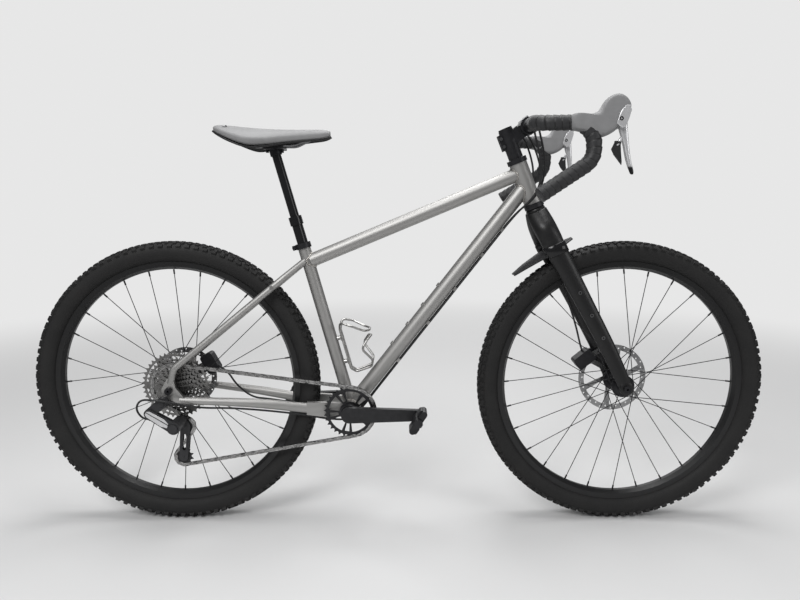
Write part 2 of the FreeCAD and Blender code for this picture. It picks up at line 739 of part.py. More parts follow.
cage_back = math.radians(200)
cage_front = math.radians(320)
for halving in range(60):
    cage_angle = (cage_back + cage_front) / 2
    if links_needed(cage_angle) > chain_links:
        cage_back = cage_angle
    else:
        cage_front = cage_angle
wheels = chain_wheels(cage_angle)
runs = chain_runs(wheels)
pin_points = []
wheel_phases = []
count_before = 0.0
for number, (center, teeth, sense, line) in enumerate(wheels):
    arrive = runs[number - 1][0]
    start_angle = cmath.phase(1j * sense * arrive)
    wrap = wrap_angle(wheels, runs, number) * teeth / (2 * math.pi)
    first_pin = math.ceil(count_before - 1e-9)
    wheel_phases.append(start_angle - sense * 2 * math.pi / teeth * (first_pin - count_before))
    for pin in range(first_pin, math.ceil(count_before + wrap - 1e-9)):
        angle = start_angle - sense * 2 * math.pi / teeth * (pin - count_before)
        spot = center + cmath.rect(pitch_radius(teeth), angle)
        pin_points.append(V(spot.real, line, spot.imag))
    count_before += wrap
    direction, length = runs[number]
    leave = center + 1j * sense * direction * pitch_radius(teeth)
    next_line = wheels[(number + 1) % len(wheels)][3]
    run_links = length / chain_pitch
    for pin in range(math.ceil(count_before - 1e-9), math.ceil(count_before + run_links - 1e-9)):
        gone = pin - count_before
        spot = leave + direction * chain_pitch * gone
        pin_points.append(V(spot.real, line + (next_line - line) * gone / run_links, spot.imag))
    count_before += run_links
tension_spot = wheels[2][0]


def link_plate(low, high):
    half = chain_pitch / 2
    return bar_link(V(-half, 0, 0), V(half, 0, 0), chain_plate_height / 2, chain_plate_height / 2, low, high)


inner_half = chain_inner_width / 2
outer_half = inner_half + chain_plate + chain_gap
pin_spots = (V(-chain_pitch / 2, 0, 0), V(chain_pitch / 2, 0, 0))
inner_link = joined(
    [link_plate(inner_half, inner_half + chain_plate), link_plate(-inner_half - chain_plate, -inner_half)]
    + [across(spot, -inner_half, inner_half, roller_diameter / 2) for spot in pin_spots])
for spot in pin_spots:
    inner_link = inner_link.cut(across(spot, -outer_half, outer_half, chain_pin_diameter / 2 + chain_gap))
outer_link = joined(
    [link_plate(outer_half, outer_half + chain_plate), link_plate(-outer_half - chain_plate, -outer_half)]
    + [across(spot, -outer_half - chain_plate - 0.1, outer_half + chain_plate + 0.1, chain_pin_diameter / 2)
       for spot in pin_spots])
chain = []
for number, here in enumerate(pin_points):
    there = pin_points[(number + 1) % len(pin_points)]
    along = (there - here).normalize()
    up = along.cross(ACROSS).normalize()
    turn = FreeCAD.Rotation(along, up.cross(along), up, "XZY")
    link = inner_link if number % 2 == 0 else outer_link
    chain.append(placed(link, FreeCAD.Placement((here + there) * 0.5, turn)))
print("chain pins", len(pin_points), "cage angle %.1f" % math.degrees(cage_angle))
saved("chain", *chain)

# Toothed wheels: round seats for the rollers and short straight-sided teeth.


def toothed_outline(center, teeth, low, phase):
    seat = roller_diameter / 2 + chain_gap
    tip_radius = pitch_radius(teeth) + 2.2
    tip_half = 0.6 / tip_radius
    edges = []

    def spot(radius, angle):
        return V(center.x + radius * math.cos(angle), low, center.z + radius * math.sin(angle))

    def flank(angle, side):
        outward = V(math.cos(angle), 0, math.sin(angle))
        sideways = V(-math.sin(angle), 0, math.cos(angle))
        return spot(pitch_radius(teeth), angle) - outward * (seat * 0.5) + sideways * (side * seat * 0.866)

    step = 2 * math.pi / teeth
    for tooth in range(teeth):
        angle = phase + step * tooth
        bottom = spot(pitch_radius(teeth) - seat, angle)
        tip_start = spot(tip_radius, angle + step / 2 - tip_half)
        tip_end = spot(tip_radius, angle + step / 2 + tip_half)
        edges.append(Part.Arc(flank(angle, -1), bottom, flank(angle, 1)).toShape())
        edges.append(Part.LineSegment(flank(angle, 1), tip_start).toShape())
        edges.append(Part.LineSegment(tip_start, tip_end).toShape())
        edges.append(Part.LineSegment(tip_end, flank(angle + step, -1)).toShape())
    return Part.Wire(edges)


def toothed_disc(center, teeth, line, thickness, phase):
    outline = toothed_outline(center, teeth, line - thickness / 2, phase)
    return Part.Face(outline).extrude(V(0, thickness, 0))


def sector(center, inner, outer, start, end, low, high):
    """A window between two radii and two angles."""
    def spot(radius, angle):
        return V(center.x + radius * math.cos(angle), low, center.z + radius * math.sin(angle))

    middle = (start + end) / 2
    edges = [Part.Arc(spot(inner, start), spot(inner, middle), spot(inner, end)).toShape(),
             Part.LineSegment(spot(inner, end), spot(outer, end)).toShape(),
             Part.Arc(spot(outer, end), spot(outer, middle), spot(outer, start)).toShape(),
             Part.LineSegment(spot(outer, start), spot(inner, start)).toShape()]
    return Part.Face(Part.Wire(edges)).extrude(V(0, high - low, 0))


# Cassette: steel cogs on a driver that runs on the hub's core.
driver_radius = 17.0
driver_end = -outer_cog_line - cog_thickness / 2 - 0.8
cassette = [ring_across(rear_axle, driver_end, driver_start, driver_radius - 3.5, 10.0 + running_fit)]
for number, teeth in enumerate(cog_teeth):
    line = -outer_cog_line + cog_spacing * number
    phase = wheel_phases[0] if teeth == cog_in_use_teeth else 0.0
    cog = toothed_disc(rear_axle, teeth, line, cog_thickness, phase)
    cog = cog.cut(across(rear_axle, line - cog_thickness, line + cog_thickness, driver_radius - 3.5))
    web_outer = pitch_radius(teeth) - 9.0
    web_inner = driver_radius + 5.0
    if web_outer - web_inner > 5:
        windows = []
        for window in range(6):
            start = 2 * math.pi * window / 6 + 0.12
            windows.append(sector(rear_axle, web_inner, web_outer, start, start + 2 * math.pi / 6 - 0.24,
                                  line - cog_thickness / 2, line + cog_thickness / 2))
        cog = cog.cut(Part.makeCompound(windows))
    cassette.append(cog)
    if number > 0:
        spacer_low = line - cog_spacing + cog_thickness / 2
        cassette.append(ring_across(rear_axle, spacer_low, line - cog_thickness / 2, driver_radius - 1,
                                    driver_radius - 3.5))
saved("cassette", *cassette)

# Chainring: narrow teeth on five pairs of struts, fixed by its centre to the crank arm.
ring_thickness = 1.0
ring_arms = 5
ring_hub_radius = 22.0
strut_first_angle = math.radians(45)
ring = toothed_disc(bracket, ring_teeth, -ring_line, ring_thickness, wheel_phases[1])
ring_low = -ring_line - ring_thickness / 2
ring_high = -ring_line + ring_thickness / 2
ring_rim = pitch_radius(ring_teeth) - 11.0
windows = [across(bracket, ring_low, ring_high, spindle_diameter / 2 + 1)]
for arm in range(ring_arms):
    angle = strut_first_angle + 2 * math.pi * arm / ring_arms
    windows.append(sector(bracket, ring_hub_radius + 5, ring_rim, angle + 0.26,
                          angle + 2 * math.pi / ring_arms - 0.26, ring_low, ring_high))
    window = sector(bracket, ring_hub_radius + 8, ring_rim - 2, angle - 0.11, angle + 0.11, ring_low, ring_high)
    windows.append(window)
ring = ring.cut(Part.makeCompound(windows))
ring_hub = ring_across(bracket, -crank_face, ring_low, ring_hub_radius, spindle_diameter / 2 + 1)
saved("chainring", joined([ring, ring_hub]))

# Cranks: the right arm carries the spindle through the bearings, the left arm is
# clamped on its end, and each arm holds a pedal spindle.
pedal_eye_radius = 14.0
crank_boss_radius = 20.0
crank_outer = crank_face + crank_thickness
right_eye = bracket + V(crank_length, 0, 0)
left_eye = bracket - V(crank_length, 0, 0)
pedal_inner = crank_outer + 8.0
pedal_outer = pedal_inner + pedal_body_width


def crank_arm(eye):
    arm = bar_link(bracket, eye, crank_boss_radius, pedal_eye_radius, crank_face, crank_outer)
    boss_ring = across(bracket, crank_face - 4, crank_outer, crank_boss_radius)
    spindle = across(eye, crank_face + 2, pedal_outer - 4, pedal_spindle_diameter / 2)
    collar = across(eye, crank_outer, pedal_inner - 2, pedal_spindle_diameter / 2 + 2.5)
    hole = across(eye, crank_face, crank_outer, pedal_spindle_diameter / 2)
    return joined([arm, boss_ring]).cut(hole), joined([spindle, collar])


right_arm, right_spindle = [mirrored(piece) for piece in crank_arm(right_eye)]
left_arm, left_spindle = crank_arm(left_eye)
ring_seat = across(bracket, -crank_face, -crank_face + 5, crank_boss_radius + 5)
main_spindle = across(bracket, -crank_face, crank_outer, spindle_diameter / 2)
right_arm = right_arm.cut(ring_seat)
left_arm = left_arm.cut(across(bracket, crank_face - 5, crank_outer, spindle_diameter / 2))
saved("crank_arm_right", joined([right_arm, main_spindle]), right_spindle)
saved("crank_arm_left", left_arm, left_spindle)

# Pedals: double-sided clip bodies that turn on their spindles.
pedal_tilt = math.radians(56)


def pedal(eye, tilt):
    reach = V(math.cos(tilt), 0, math.sin(tilt)) * (pedal_body_length / 2 - 9)
    barrel = across(eye, pedal_inner, pedal_outer, 11.0)
    frame_plate = bar_link(eye + reach, eye - reach, 8.0, 8.0, pedal_inner + 8, pedal_outer - 6)
    waist = V(-math.sin(tilt), 0, math.cos(tilt)) * 8.0
    body = joined([barrel, frame_plate])
    for sign in (1, -1):
        spot = eye + waist * sign + reach * (0.6 * sign)
        end = eye + waist * sign * 0.9 + reach * sign
        claw = bar_link(spot, end, 5.0, 5.5, pedal_inner + 14, pedal_outer - 12)
        body = body.fuse(claw)
    bore = across(eye, pedal_inner, pedal_outer - 4 + side_gap, pedal_spindle_diameter / 2 + running_fit)
    return body.removeSplitter().cut(bore)


saved("right_pedal", mirrored(pedal(right_eye, pedal_tilt)))
saved("left_pedal", pedal(left_eye, pedal_tilt))

# Rear derailleur: knuckles and links bolted to the hanger, and a sprung cage with two
# toothed pulleys.
guide_center = V(guide_spot.real, 0, guide_spot.imag)
tension_center = V(tension_spot.real, 0, tension_spot.imag)
cage_pivot = guide_center + V(-9, 0, 17)
link_back = rear_axle + V(-44, 0, -52)
knuckle_outer = dropout_outer + 20.0
cage_gap = 4.2
cage_plate = 2.0
pulley_thickness = 1.5
outer_plate_low = cog_line - cage_gap - cage_plate
pivot_inner = outer_plate_low - 7.0
upper_knuckle = across(hanger_bolt, -knuckle_outer, -dropout_outer - close_gap, 14.0)
hanger_pin = across(hanger_bolt, -dropout_outer, -dropout_inner, hanger_thread_radius - close_gap)
hanger_shank = across(hanger_bolt, -dropout_outer - 1, -dropout_outer + 1, hanger_thread_radius - close_gap)
upper_arm = bar_link(hanger_bolt, link_back, 13.0, 12.0, -knuckle_outer, -dropout_outer - 4)
outer_link_plate = bar_link(link_back, cage_pivot, 11.5, 14.0, -knuckle_outer - 5, -knuckle_outer)
inner_link_plate = bar_link(link_back, cage_pivot, 8.0, 11.0, -dropout_outer - 8, -dropout_outer - 4)
lower_knuckle = across(cage_pivot, -knuckle_outer - 5, pivot_inner, 16.0)
knuckle_cap = across(cage_pivot, -knuckle_outer - 9, -knuckle_outer - 5, 11.0)
hanger_head = across(hanger_bolt, -knuckle_outer - 3, -knuckle_outer, 7.5)
housing_stop_spot = V(link_back.x + 5, -dropout_outer - 12, link_back.z - 15.5)
housing_stop_end = housing_stop_spot + V(-9, 0, -1)
housing_stop = cylinder(housing_stop_spot, housing_stop_end, hose_diameter / 2 + 2)
derailleur = joined([housing_stop, upper_knuckle, hanger_shank, hanger_pin, upper_arm,
                     outer_link_plate, inner_link_plate,
                     lower_knuckle, knuckle_cap, hanger_head])
saved("derailleur_body", derailleur)

pulley_bolt_radius = 2.5


def cage_side(low):
    high = low + cage_plate
    run = bar_link(guide_center, tension_center, 13.0, 11.0, low, high)
    window = bar_link(guide_center + (tension_center - guide_center) * 0.3,
                      guide_center + (tension_center - guide_center) * 0.72, 5.0, 4.5, low, high)
    return run.cut(window)


outer_plate_high = outer_plate_low + cage_plate
pivot_plate = bar_link(guide_center, cage_pivot, 13.0, 13.0, outer_plate_low, outer_plate_high)
outer_side = joined([cage_side(outer_plate_low), pivot_plate])
inner_side = cage_side(cog_line + cage_gap)
cage_boss = across(cage_pivot, pivot_inner + side_gap, outer_plate_low, 13.0)
bolts = [across(spot, outer_plate_low - 1.5, cog_line + cage_gap + cage_plate + 1, pulley_bolt_radius)
         for spot in (guide_center, tension_center)]
saved("derailleur_cage", joined([outer_side, inner_side, cage_boss] + bolts))


def pulley(center, phase):
    wheel = toothed_disc(center, pulley_teeth, cog_line, pulley_thickness, phase)
    hub = across(center, cog_line - cage_gap + side_gap, cog_line + cage_gap - side_gap, 7.0)
    body = joined([wheel, hub])
    return body.cut(across(center, cog_line - cage_gap, cog_line + cage_gap, pulley_bolt_radius + running_fit))


saved("tension_pulley", pulley(tension_center, wheel_phases[2]))
saved("guide_pulley", pulley(guide_center, wheel_phases[3]))

# Fork: one-piece legs and crown with the steerer, ovals lofted down each leg.
leg_foot_inner = front_spacing / 2
leg_foot_thickness = 14.0
crown_race_radius = 21.0
leg_stations = (
    (fork_length - 8, -0.5, 9.0, 25.5, 17.0),
    (fork_length - 28, -0.5, 19.0, 27.5, 22.0),
    (fork_length - 50, 0.0, 29.0, 28.5, 25.5),
    (fork_length - 80, 1.5, 40.0, 28.0, 18.5),
    (fork_length - 111, 3.6, 46.5, 26.5, 14.0),
    (fork_length - 252, 20.3, 51.5, 22.0, 11.5),
    (110.0, 35.4, 57.0, 19.5, 10.0),
    (14.0, fork_rake - 0.5, leg_foot_inner + leg_foot_thickness / 2, 16.0, leg_foot_thickness / 2 - 1),
)
leg_sections = [oval(V(forward, side, height), V(1, 0, 0), ACROSS, half_length, half_width)
                for height, forward, side, half_length, half_width in leg_stations]
right_half = Part.makeBox(200, 100, 2 * fork_length, V(-100, -100, -fork_length / 2))
left_leg = Part.makeLoft(leg_sections, True, True).cut(right_half)
foot_spot = V(fork_rake, 0, 0)
foot_eye = across(foot_spot, leg_foot_inner, leg_foot_inner + leg_foot_thickness, 17.5)
leg_foot_outer = leg_foot_inner + leg_foot_thickness
foot_web = bar_link(foot_spot, foot_spot + V(-0.5, 0, 17), 17.5, 17.0, leg_foot_inner, leg_foot_outer)
upper_cup_top = head_top_height + cup_height
stem_low = upper_cup_top + side_gap + spacer_count * spacer_height
stem_top = stem_low + stem_height
steerer_top = stem_top + 1.0
crown_race = cylinder(V(0, 0, leg_stations[0][0]), V(0, 0, fork_length), crown_race_radius)
steerer = cylinder(V(0, 0, fork_length - 4), V(0, 0, steerer_top), steerer_diameter / 2)
steerer_bore_low = fork_length + 15
steerer_inside = cylinder(V(0, 0, steerer_bore_low), V(0, 0, steerer_top), steerer_diameter / 2 - 2.5)
both_legs = joined(both_sides(left_leg))
left_foot = joined([foot_eye, foot_web])
fork_local = both_legs.fuse(left_foot).fuse(mirrored(left_foot))
fork_local = fork_local.fuse(joined([crown_race, steerer])).cut(steerer_inside)
foot_bore = across(foot_spot, -leg_foot_inner - leg_foot_thickness, leg_foot_inner + leg_foot_thickness,
                   thru_axle_diameter / 2 + running_fit)
fork_local = fork_local.cut(foot_bore)
fork_boss_middle = 209.0
fork_boss_heights = (fork_boss_middle - boss_pitch, fork_boss_middle, fork_boss_middle + boss_pitch)
fork_boss_spots = []
fork_inserts = []


def leg_station_at(height):
    """The leg's centre and half sizes at a height, between its two stations."""
    for upper, lower in zip(leg_stations, leg_stations[1:]):
        if lower[0] <= height <= upper[0]:
            share = (height - lower[0]) / (upper[0] - lower[0])
            return [low + (high - low) * share for low, high in zip(lower, upper)]


insert_depth = 9.0
insert_proud = 0.8
for height in fork_boss_heights:
    station = leg_station_at(height)
    spot = V(station[1], 0, height)
    outside = station[2] + station[4]
    fork_boss_spots.append((spot, outside + insert_proud))
    sleeve = ring_across(spot, outside - insert_depth, outside + insert_proud, 4.5, boss_thread_radius)
    plug_hole = across(spot, outside - insert_depth, outside + insert_depth, 4.5)
    fork_local = fork_local.cut(plug_hole).cut(mirrored(plug_hole))
    fork_inserts += both_sides(sleeve)
fork = placed(fork_local, steer_place)
saved("fork", fork)
saved("front_thru_axle", make_thru_axle(front_axle, leg_foot_inner + leg_foot_thickness))

# Fork fender: a short thin guard between the legs over the tyre, with a long tongue behind
# and a strap round each leg.
fender_clearance = 34.0
fender_radius = tyre_radius + fender_clearance
fender_thickness = 2.5
fender_half_width = 33.0
fender_start = math.radians(110)
fender_end = math.radians(135)


def fender_section(angle, half_width, drop):
    outward = V(math.cos(angle), 0, math.sin(angle))
    center = front_axle + outward * fender_radius

    def spot(side, lift):
        return center + V(0, side, 0) + outward * lift

    edges = [
        Part.Arc(spot(-half_width, -drop), spot(0, 0), spot(half_width, -drop)).toShape(),
        Part.LineSegment(spot(half_width, -drop), spot(half_width, -drop - fender_thickness)).toShape(),
        Part.Arc(spot(half_width, -drop - fender_thickness), spot(0, -fender_thickness),
                 spot(-half_width, -drop - fender_thickness)).toShape(),
        Part.LineSegment(spot(-half_width, -drop - fender_thickness), spot(-half_width, -drop)).toShape(),
    ]
    return Part.Wire(edges)


fender_stations = ((0.0, 14.0, 3.0), (0.16, 27.0, 8.0), (0.33, 36.0, 14.0), (0.55, 34.0, 13.0), (0.8, 27.0, 9.0),
                   (1.0, 16.0, 4.0))
fender = Part.makeLoft([fender_section(fender_start + (fender_end - fender_start) * share, half, drop)
                        for share, half, drop in fender_stations], True, True)
fender = fender.cut(fork)
fender = max(fender.Solids, key=lambda solid: solid.Volume)
strap_height = fork_length - 111.0
strap_width = 12.0
strap_thickness = 1.6


def strap_ring(extra):
    sections = []
    for height in (strap_height - strap_width, strap_height):
        station = leg_station_at(height)
        sections.append(oval(V(station[1], station[2], height), V(1, 0, 0), ACROSS,
                             station[3] + extra, station[4] + extra))
    return Part.makeLoft(sections, True, True)


strap = strap_ring(strap_thickness).cut(strap_ring(0.0))
left_strap = placed(strap, steer_place).cut(fork)
left_strap = max(left_strap.Solids, key=lambda solid: solid.Volume)
fender = fender.cut(left_strap).cut(mirrored(left_strap))
fender = max(fender.Solids, key=lambda solid: solid.Volume)
saved("fork_fender", fender, *both_sides(left_strap))

# Steerer spacers and top cap, stem with its front plate, and their bolts.
spacers = []
for number in range(spacer_count):
    low = upper_cup_top + side_gap + number * spacer_height
    spacers.append(tube(V(0, 0, low), V(0, 0, low + spacer_height), spacer_diameter,
                        spacer_diameter / 2 - steerer_bore))
top_spacer = tube(V(0, 0, stem_top), V(0, 0, stem_top + 5), spacer_diameter, spacer_diameter / 2 - steerer_bore)
cap = cylinder(V(0, 0, stem_top + 5), V(0, 0, stem_top + 9), spacer_diameter / 2 - 1)
cap = cap.fuse(cylinder(V(0, 0, stem_top + 2), V(0, 0, stem_top + 5), steerer_diameter / 2 - 3)).removeSplitter()
saved("headset_spacers", *[placed(piece, steer_place) for piece in spacers + [top_spacer, cap]])

stem_rise = 14.0
stem_clamp_middle = stem_low + stem_height / 2
bar_local = V(stem_reach, 0, stem_clamp_middle + stem_rise)
bar_center = steer_place.multVec(bar_local)
stem_width = 46.0
stem_clamp_radius = 21.0
stem_collar_radius = 18.5
stem_body = cylinder(V(0, 0, stem_low), V(0, 0, stem_top), stem_collar_radius)
stem_arm = slab([(0, stem_clamp_middle - 18), (bar_local.x, bar_local.z - 17),
                 (bar_local.x, bar_local.z + 12), (0, stem_clamp_middle + 18)], -15, 15)
stem_head = across(bar_local, -stem_width / 2, stem_width / 2, stem_clamp_radius)
pinch_block = Part.makeBox(12, 22, stem_height - 4, V(-stem_collar_radius - 6, -11, stem_low + 2))
stem_whole = joined([stem_body, stem_arm, stem_head, pinch_block])
bar_hole = across(bar_local, -stem_width, stem_width, bar_clamp_diameter / 2)
steerer_hole = cylinder(V(0, 0, stem_low - 1), V(0, 0, stem_top + 1), steerer_bore)
pinch_slot = Part.makeBox(20, 2, stem_height + 2, V(-stem_collar_radius - 10, -1, stem_low - 1))
stem_whole = stem_whole.cut(bar_hole).cut(steerer_hole).cut(pinch_slot)
split_turn = FreeCAD.Rotation(ACROSS, -math.degrees(math.atan2(stem_rise, stem_reach)))
plate_gap = 1.5
front_space = Part.makeBox(60, 100, 100, V(plate_gap / 2, -50, -50))
split_place = FreeCAD.Placement(bar_local, split_turn)
head_zone = across(bar_local, -stem_width, stem_width, 60)
stem = stem_whole.cut(placed(front_space, split_place).common(head_zone))
faceplate = stem_whole.common(placed(front_space, split_place))
plate_bolts = []
for side in (-16.0, 16.0):
    for lift in (-bar_clamp_diameter / 2 - 3.4, bar_clamp_diameter / 2 + 3.4):
        head = cylinder(V(6, side, lift), V(12, side, lift), 3.6)
        shank = cylinder(V(-8, side, lift), V(6, side, lift), 2.4)
        plate_bolts.append(placed(joined([head, shank]), split_place))
bolt_room = Part.makeCompound([bolt for bolt in plate_bolts])
stem = stem.cut(bolt_room)
faceplate = faceplate.cut(bolt_room)
pinch_bolts = []
for lift in (12.0, 32.0):
    spot = V(-stem_collar_radius - 1.2, 0, stem_low + lift)
    pinch_bolts.append(joined([across(spot, -11, 12, 2.4), across(spot, -15, -11, 4.0)]))
stem = stem.cut(Part.makeCompound([across(V(-stem_collar_radius - 1.2, 0, stem_low + lift), -11, 12, 2.4)
                                   for lift in (12.0, 32.0)]))
saved("stem", placed(max(stem.Solids, key=lambda solid: solid.Volume), steer_place))
saved("stem_faceplate", placed(max(faceplate.Solids, key=lambda solid: solid.Volume), steer_place))
saved("front_fasteners", *[placed(piece, steer_place) for piece in plate_bolts + pinch_bolts + fork_inserts])

# Handlebar: a flared drop bar, wrapped in tape from beside the stem to its plugged ends.
bar_corner = bar_center + V(-20, 205, -17)
bar_hook_top = bar_center + V(99, 222, -18)
bar_hook_low = bar_center + V(98, 233, -97)
bar_tip = bar_center + V(-18, 255, -171)
clamp_half = 38.0
cone_length = 22.0
bar_straight = clamp_half + cone_length
bar_points = [bar_center + V(0, bar_straight - 8, 0), bar_center + V(0, bar_straight + 14, 0),
              bar_corner, bar_hook_top, bar_hook_low, bar_tip]
bar_bends = [60.0, 36.0, 46.0, 44.0]
left_drop = bent_rod(bar_points, bar_bends, bar_diameter / 2)
clamp_zone = cylinder(bar_center - V(0, clamp_half, 0), bar_center + V(0, clamp_half, 0), bar_clamp_diameter / 2)
cone_foot = bar_center + V(0, clamp_half, 0)
left_cone = Part.makeCone(bar_clamp_diameter / 2, bar_diameter / 2, cone_length, cone_foot, ACROSS)
handlebar = joined([clamp_zone, left_cone, mirrored(left_cone), left_drop, mirrored(left_drop)])
saved("handlebar", handlebar)

tape_points = [bar_points[1] + (bar_corner - bar_points[1]) * 0.12] + bar_points[2:]
left_tape = bent_rod(tape_points, bar_bends[1:], bar_diameter / 2 + tape_thickness)
left_tape = left_tape.cut(left_drop)
tip_run = (bar_tip - bar_hook_low).normalize()
left_plug = cylinder(bar_tip, bar_tip + tip_run * 3, bar_diameter / 2 + tape_thickness - 1)
saved("bar_tape", *(both_sides(left_tape) + both_sides(left_plug)))

# Lever hoods: rubber-covered bodies with a tall horn, seated on the bend of the bar.
hood_line = 222.0
hood_half_width = 17.0
hood_outline = (
    (46, 0), (86, -4), (110, 2), (116, 18), (127, 33), (145, 39), (162, 32), (173, 17), (171, 7),
    (155, -18), (143, -34), (124, -44), (109, -48), (84, -36), (52, -34))


def hood_section(side, shrink):
    middle = V(112, 0, -8)
    points = []
    for x, z in hood_outline:
        spot = V(x, 0, z)
        inward = (middle - spot).normalize() * shrink
        points.append(bar_center + spot + inward + V(0, hood_line + side, 0))
    return Part.makePolygon(points + points[:1])


hood = Part.makeLoft([hood_section(-hood_half_width, 9), hood_section(-hood_half_width + 6, 1.5),
                      hood_section(0, 0), hood_section(hood_half_width - 6, 1.5),
                      hood_section(hood_half_width, 9)], True, True)
bar_room = bent_rod(bar_points, bar_bends, bar_diameter / 2 + tape_thickness + 0.05)
lever_pivot = bar_center + V(150, hood_line, -12)
lever_slot_half = 6.5
lever_slot = slab([(lever_pivot.x - 14, lever_pivot.z - 60), (lever_pivot.x + 60, lever_pivot.z - 60),
                   (lever_pivot.x + 60, lever_pivot.z + 44), (lever_pivot.x + 20, lever_pivot.z + 37),
                   (lever_pivot.x - 10, lever_pivot.z + 32), (lever_pivot.x - 14, lever_pivot.z)],
                  hood_line - lever_slot_half - side_gap, hood_line + lever_slot_half + side_gap)
left_hood = hood.cut(bar_room).cut(lever_slot)
left_hood = max(left_hood.Solids, key=lambda solid: solid.Volume)
pivot_pin_radius = 2.5
lever_pin = across(lever_pivot, hood_line - 13, hood_line + 13, pivot_pin_radius)
left_hood = left_hood.cut(lever_pin)
saved("lever_hoods", *(both_sides(left_hood) + both_sides(lever_pin)))

# Brake levers: curved blades hung on pins in the hoods, flared outward at the tip, each
# with a short post behind it that carries the shift paddle.
blade_front = ((14, 31), (19, 18), (20, 0), (23, -40), (26, -75), (32, -106), (31, -117))
blade_back = ((3, 28), (-5, 8), (-5, -8), (8, -44), (14, -78), (22, -108), (25, -117))
blade_half_widths = (5.0, 6.0, 6.0, 6.5, 7.0, 7.0, 5.0)
blade_flare = 14.0
blade_length = 117.0


def blade_slice(front, back, half_width):
    flare = blade_flare * (min(0.0, (front[1] + back[1]) / 2) / blade_length) ** 2
    corners = [lever_pivot + V(front[0], flare - half_width * 0.7, front[1]),
               lever_pivot + V(front[0], flare + half_width * 0.7, front[1]),
               lever_pivot + V(back[0], flare + half_width, back[1]),
               lever_pivot + V(back[0], flare - half_width, back[1])]
    return Part.makePolygon(corners + corners[:1])


left_blade = Part.makeLoft([blade_slice(front, back, half_width)
                            for front, back, half_width in zip(blade_front, blade_back, blade_half_widths)],
                           True, True)
left_blade = left_blade.cut(across(lever_pivot, hood_line - 20, hood_line + 20, pivot_pin_radius + running_fit))
paddle_pivot = lever_pivot + V(0, 3.5, -48)
paddle_post_radius = 1.6
paddle_post = cylinder(paddle_pivot + V(14, 0, 0), paddle_pivot + V(-8, 0, 0), paddle_post_radius)
left_lever = joined([left_blade, paddle_post])
saved("left_brake_lever", left_lever)
saved("right_brake_lever", mirrored(left_lever))

# Shift paddles: leaf-shaped plates behind the blades, each with a knuckle on its post.
paddle_outline = ((5, 2), (-7, 1), (-14, -14), (-8, -26), (5, -42), (9, -47), (9.5, -40), (7, -20))
paddle_thickness = 3.0
paddle_plate = slab([(paddle_pivot.x + x, paddle_pivot.z + z) for x, z in paddle_outline],
                    paddle_pivot.y - paddle_thickness / 2, paddle_pivot.y + paddle_thickness / 2)
knuckle = cylinder(paddle_pivot + V(6, 0, 0), paddle_pivot + V(-7, 0, 0), 3.6)
post_bore = cylinder(paddle_pivot + V(20, 0, 0), paddle_pivot + V(-20, 0, 0), paddle_post_radius + running_fit)
left_paddle = joined([paddle_plate, knuckle]).cut(post_bore)
left_paddle = max(left_paddle.Solids, key=lambda solid: solid.Volume)
saved("left_shift_paddle", left_paddle)
saved("right_shift_paddle", mirrored(left_paddle))

# Brake calipers: two-piece bodies that straddle the discs, with a pad on each side.


def caliper(center, line, turn, length, height, low, high):
    pad_gap = 0.6
    pad_thickness = 3.2
    slot_half = rotor_thickness / 2 + pad_gap + pad_thickness
    block = Part.makeBox(length, high - low, height, V(-length / 2, low, -height / 2))
    outer_edges = [edge for edge in block.Edges
                   if abs(edge.Vertexes[0].Y - edge.Vertexes[1].Y) > 1]
    block = block.makeFillet(min(length, height) * 0.22, outer_edges)
    slot = Part.makeBox(length, 2 * slot_half, height, V(-length / 2, line - slot_half, -height / 2 - 8))
    pads = []
    for side in (-1, 1):
        inner = line + side * (rotor_thickness / 2 + pad_gap)
        outer = line + side * (slot_half - close_gap / 2)
        pads.append(Part.makeBox(length * 0.55, abs(outer - inner), height * 0.55,
                                 V(-length * 0.275, min(inner, outer), -height * 0.42)))
    place = FreeCAD.Placement(center, FreeCAD.Rotation(ACROSS, turn))
    return [placed(piece, place) for piece in [block.cut(slot)] + pads]


front_rotor_line = front_rotor_seat + rotor_thickness / 2
front_caliper_spot = on_steerer(-12, 0, 78)
front_caliper = caliper(front_caliper_spot, front_rotor_line, -40.0, 54.0, 34.0, front_rotor_line - 15,
                        front_rotor_line + 17)
front_caliper[0] = max(front_caliper[0].cut(fork).Solids, key=lambda solid: solid.Volume)
front_bracket = Part.makeBox(30, 9, 40, V(-6, front_rotor_line + 8, 54))
front_bracket = placed(front_bracket, steer_place).cut(fork).cut(Part.makeCompound(front_caliper))
front_bracket = max(front_bracket.Solids, key=lambda solid: solid.Volume)
saved("front_brake_caliper", *(front_caliper + [front_bracket]))

rear_rotor_line = rear_rotor_seat + rotor_thickness / 2
rear_caliper_place = rear_caliper_spot + V(2, 0, 4)
rear_caliper = caliper(rear_caliper_place, rear_rotor_line, 62.0, 54.0, 34.0, rear_rotor_line - 15,
                       dropout_inner - close_gap)
saved("rear_brake_caliper", *rear_caliper)

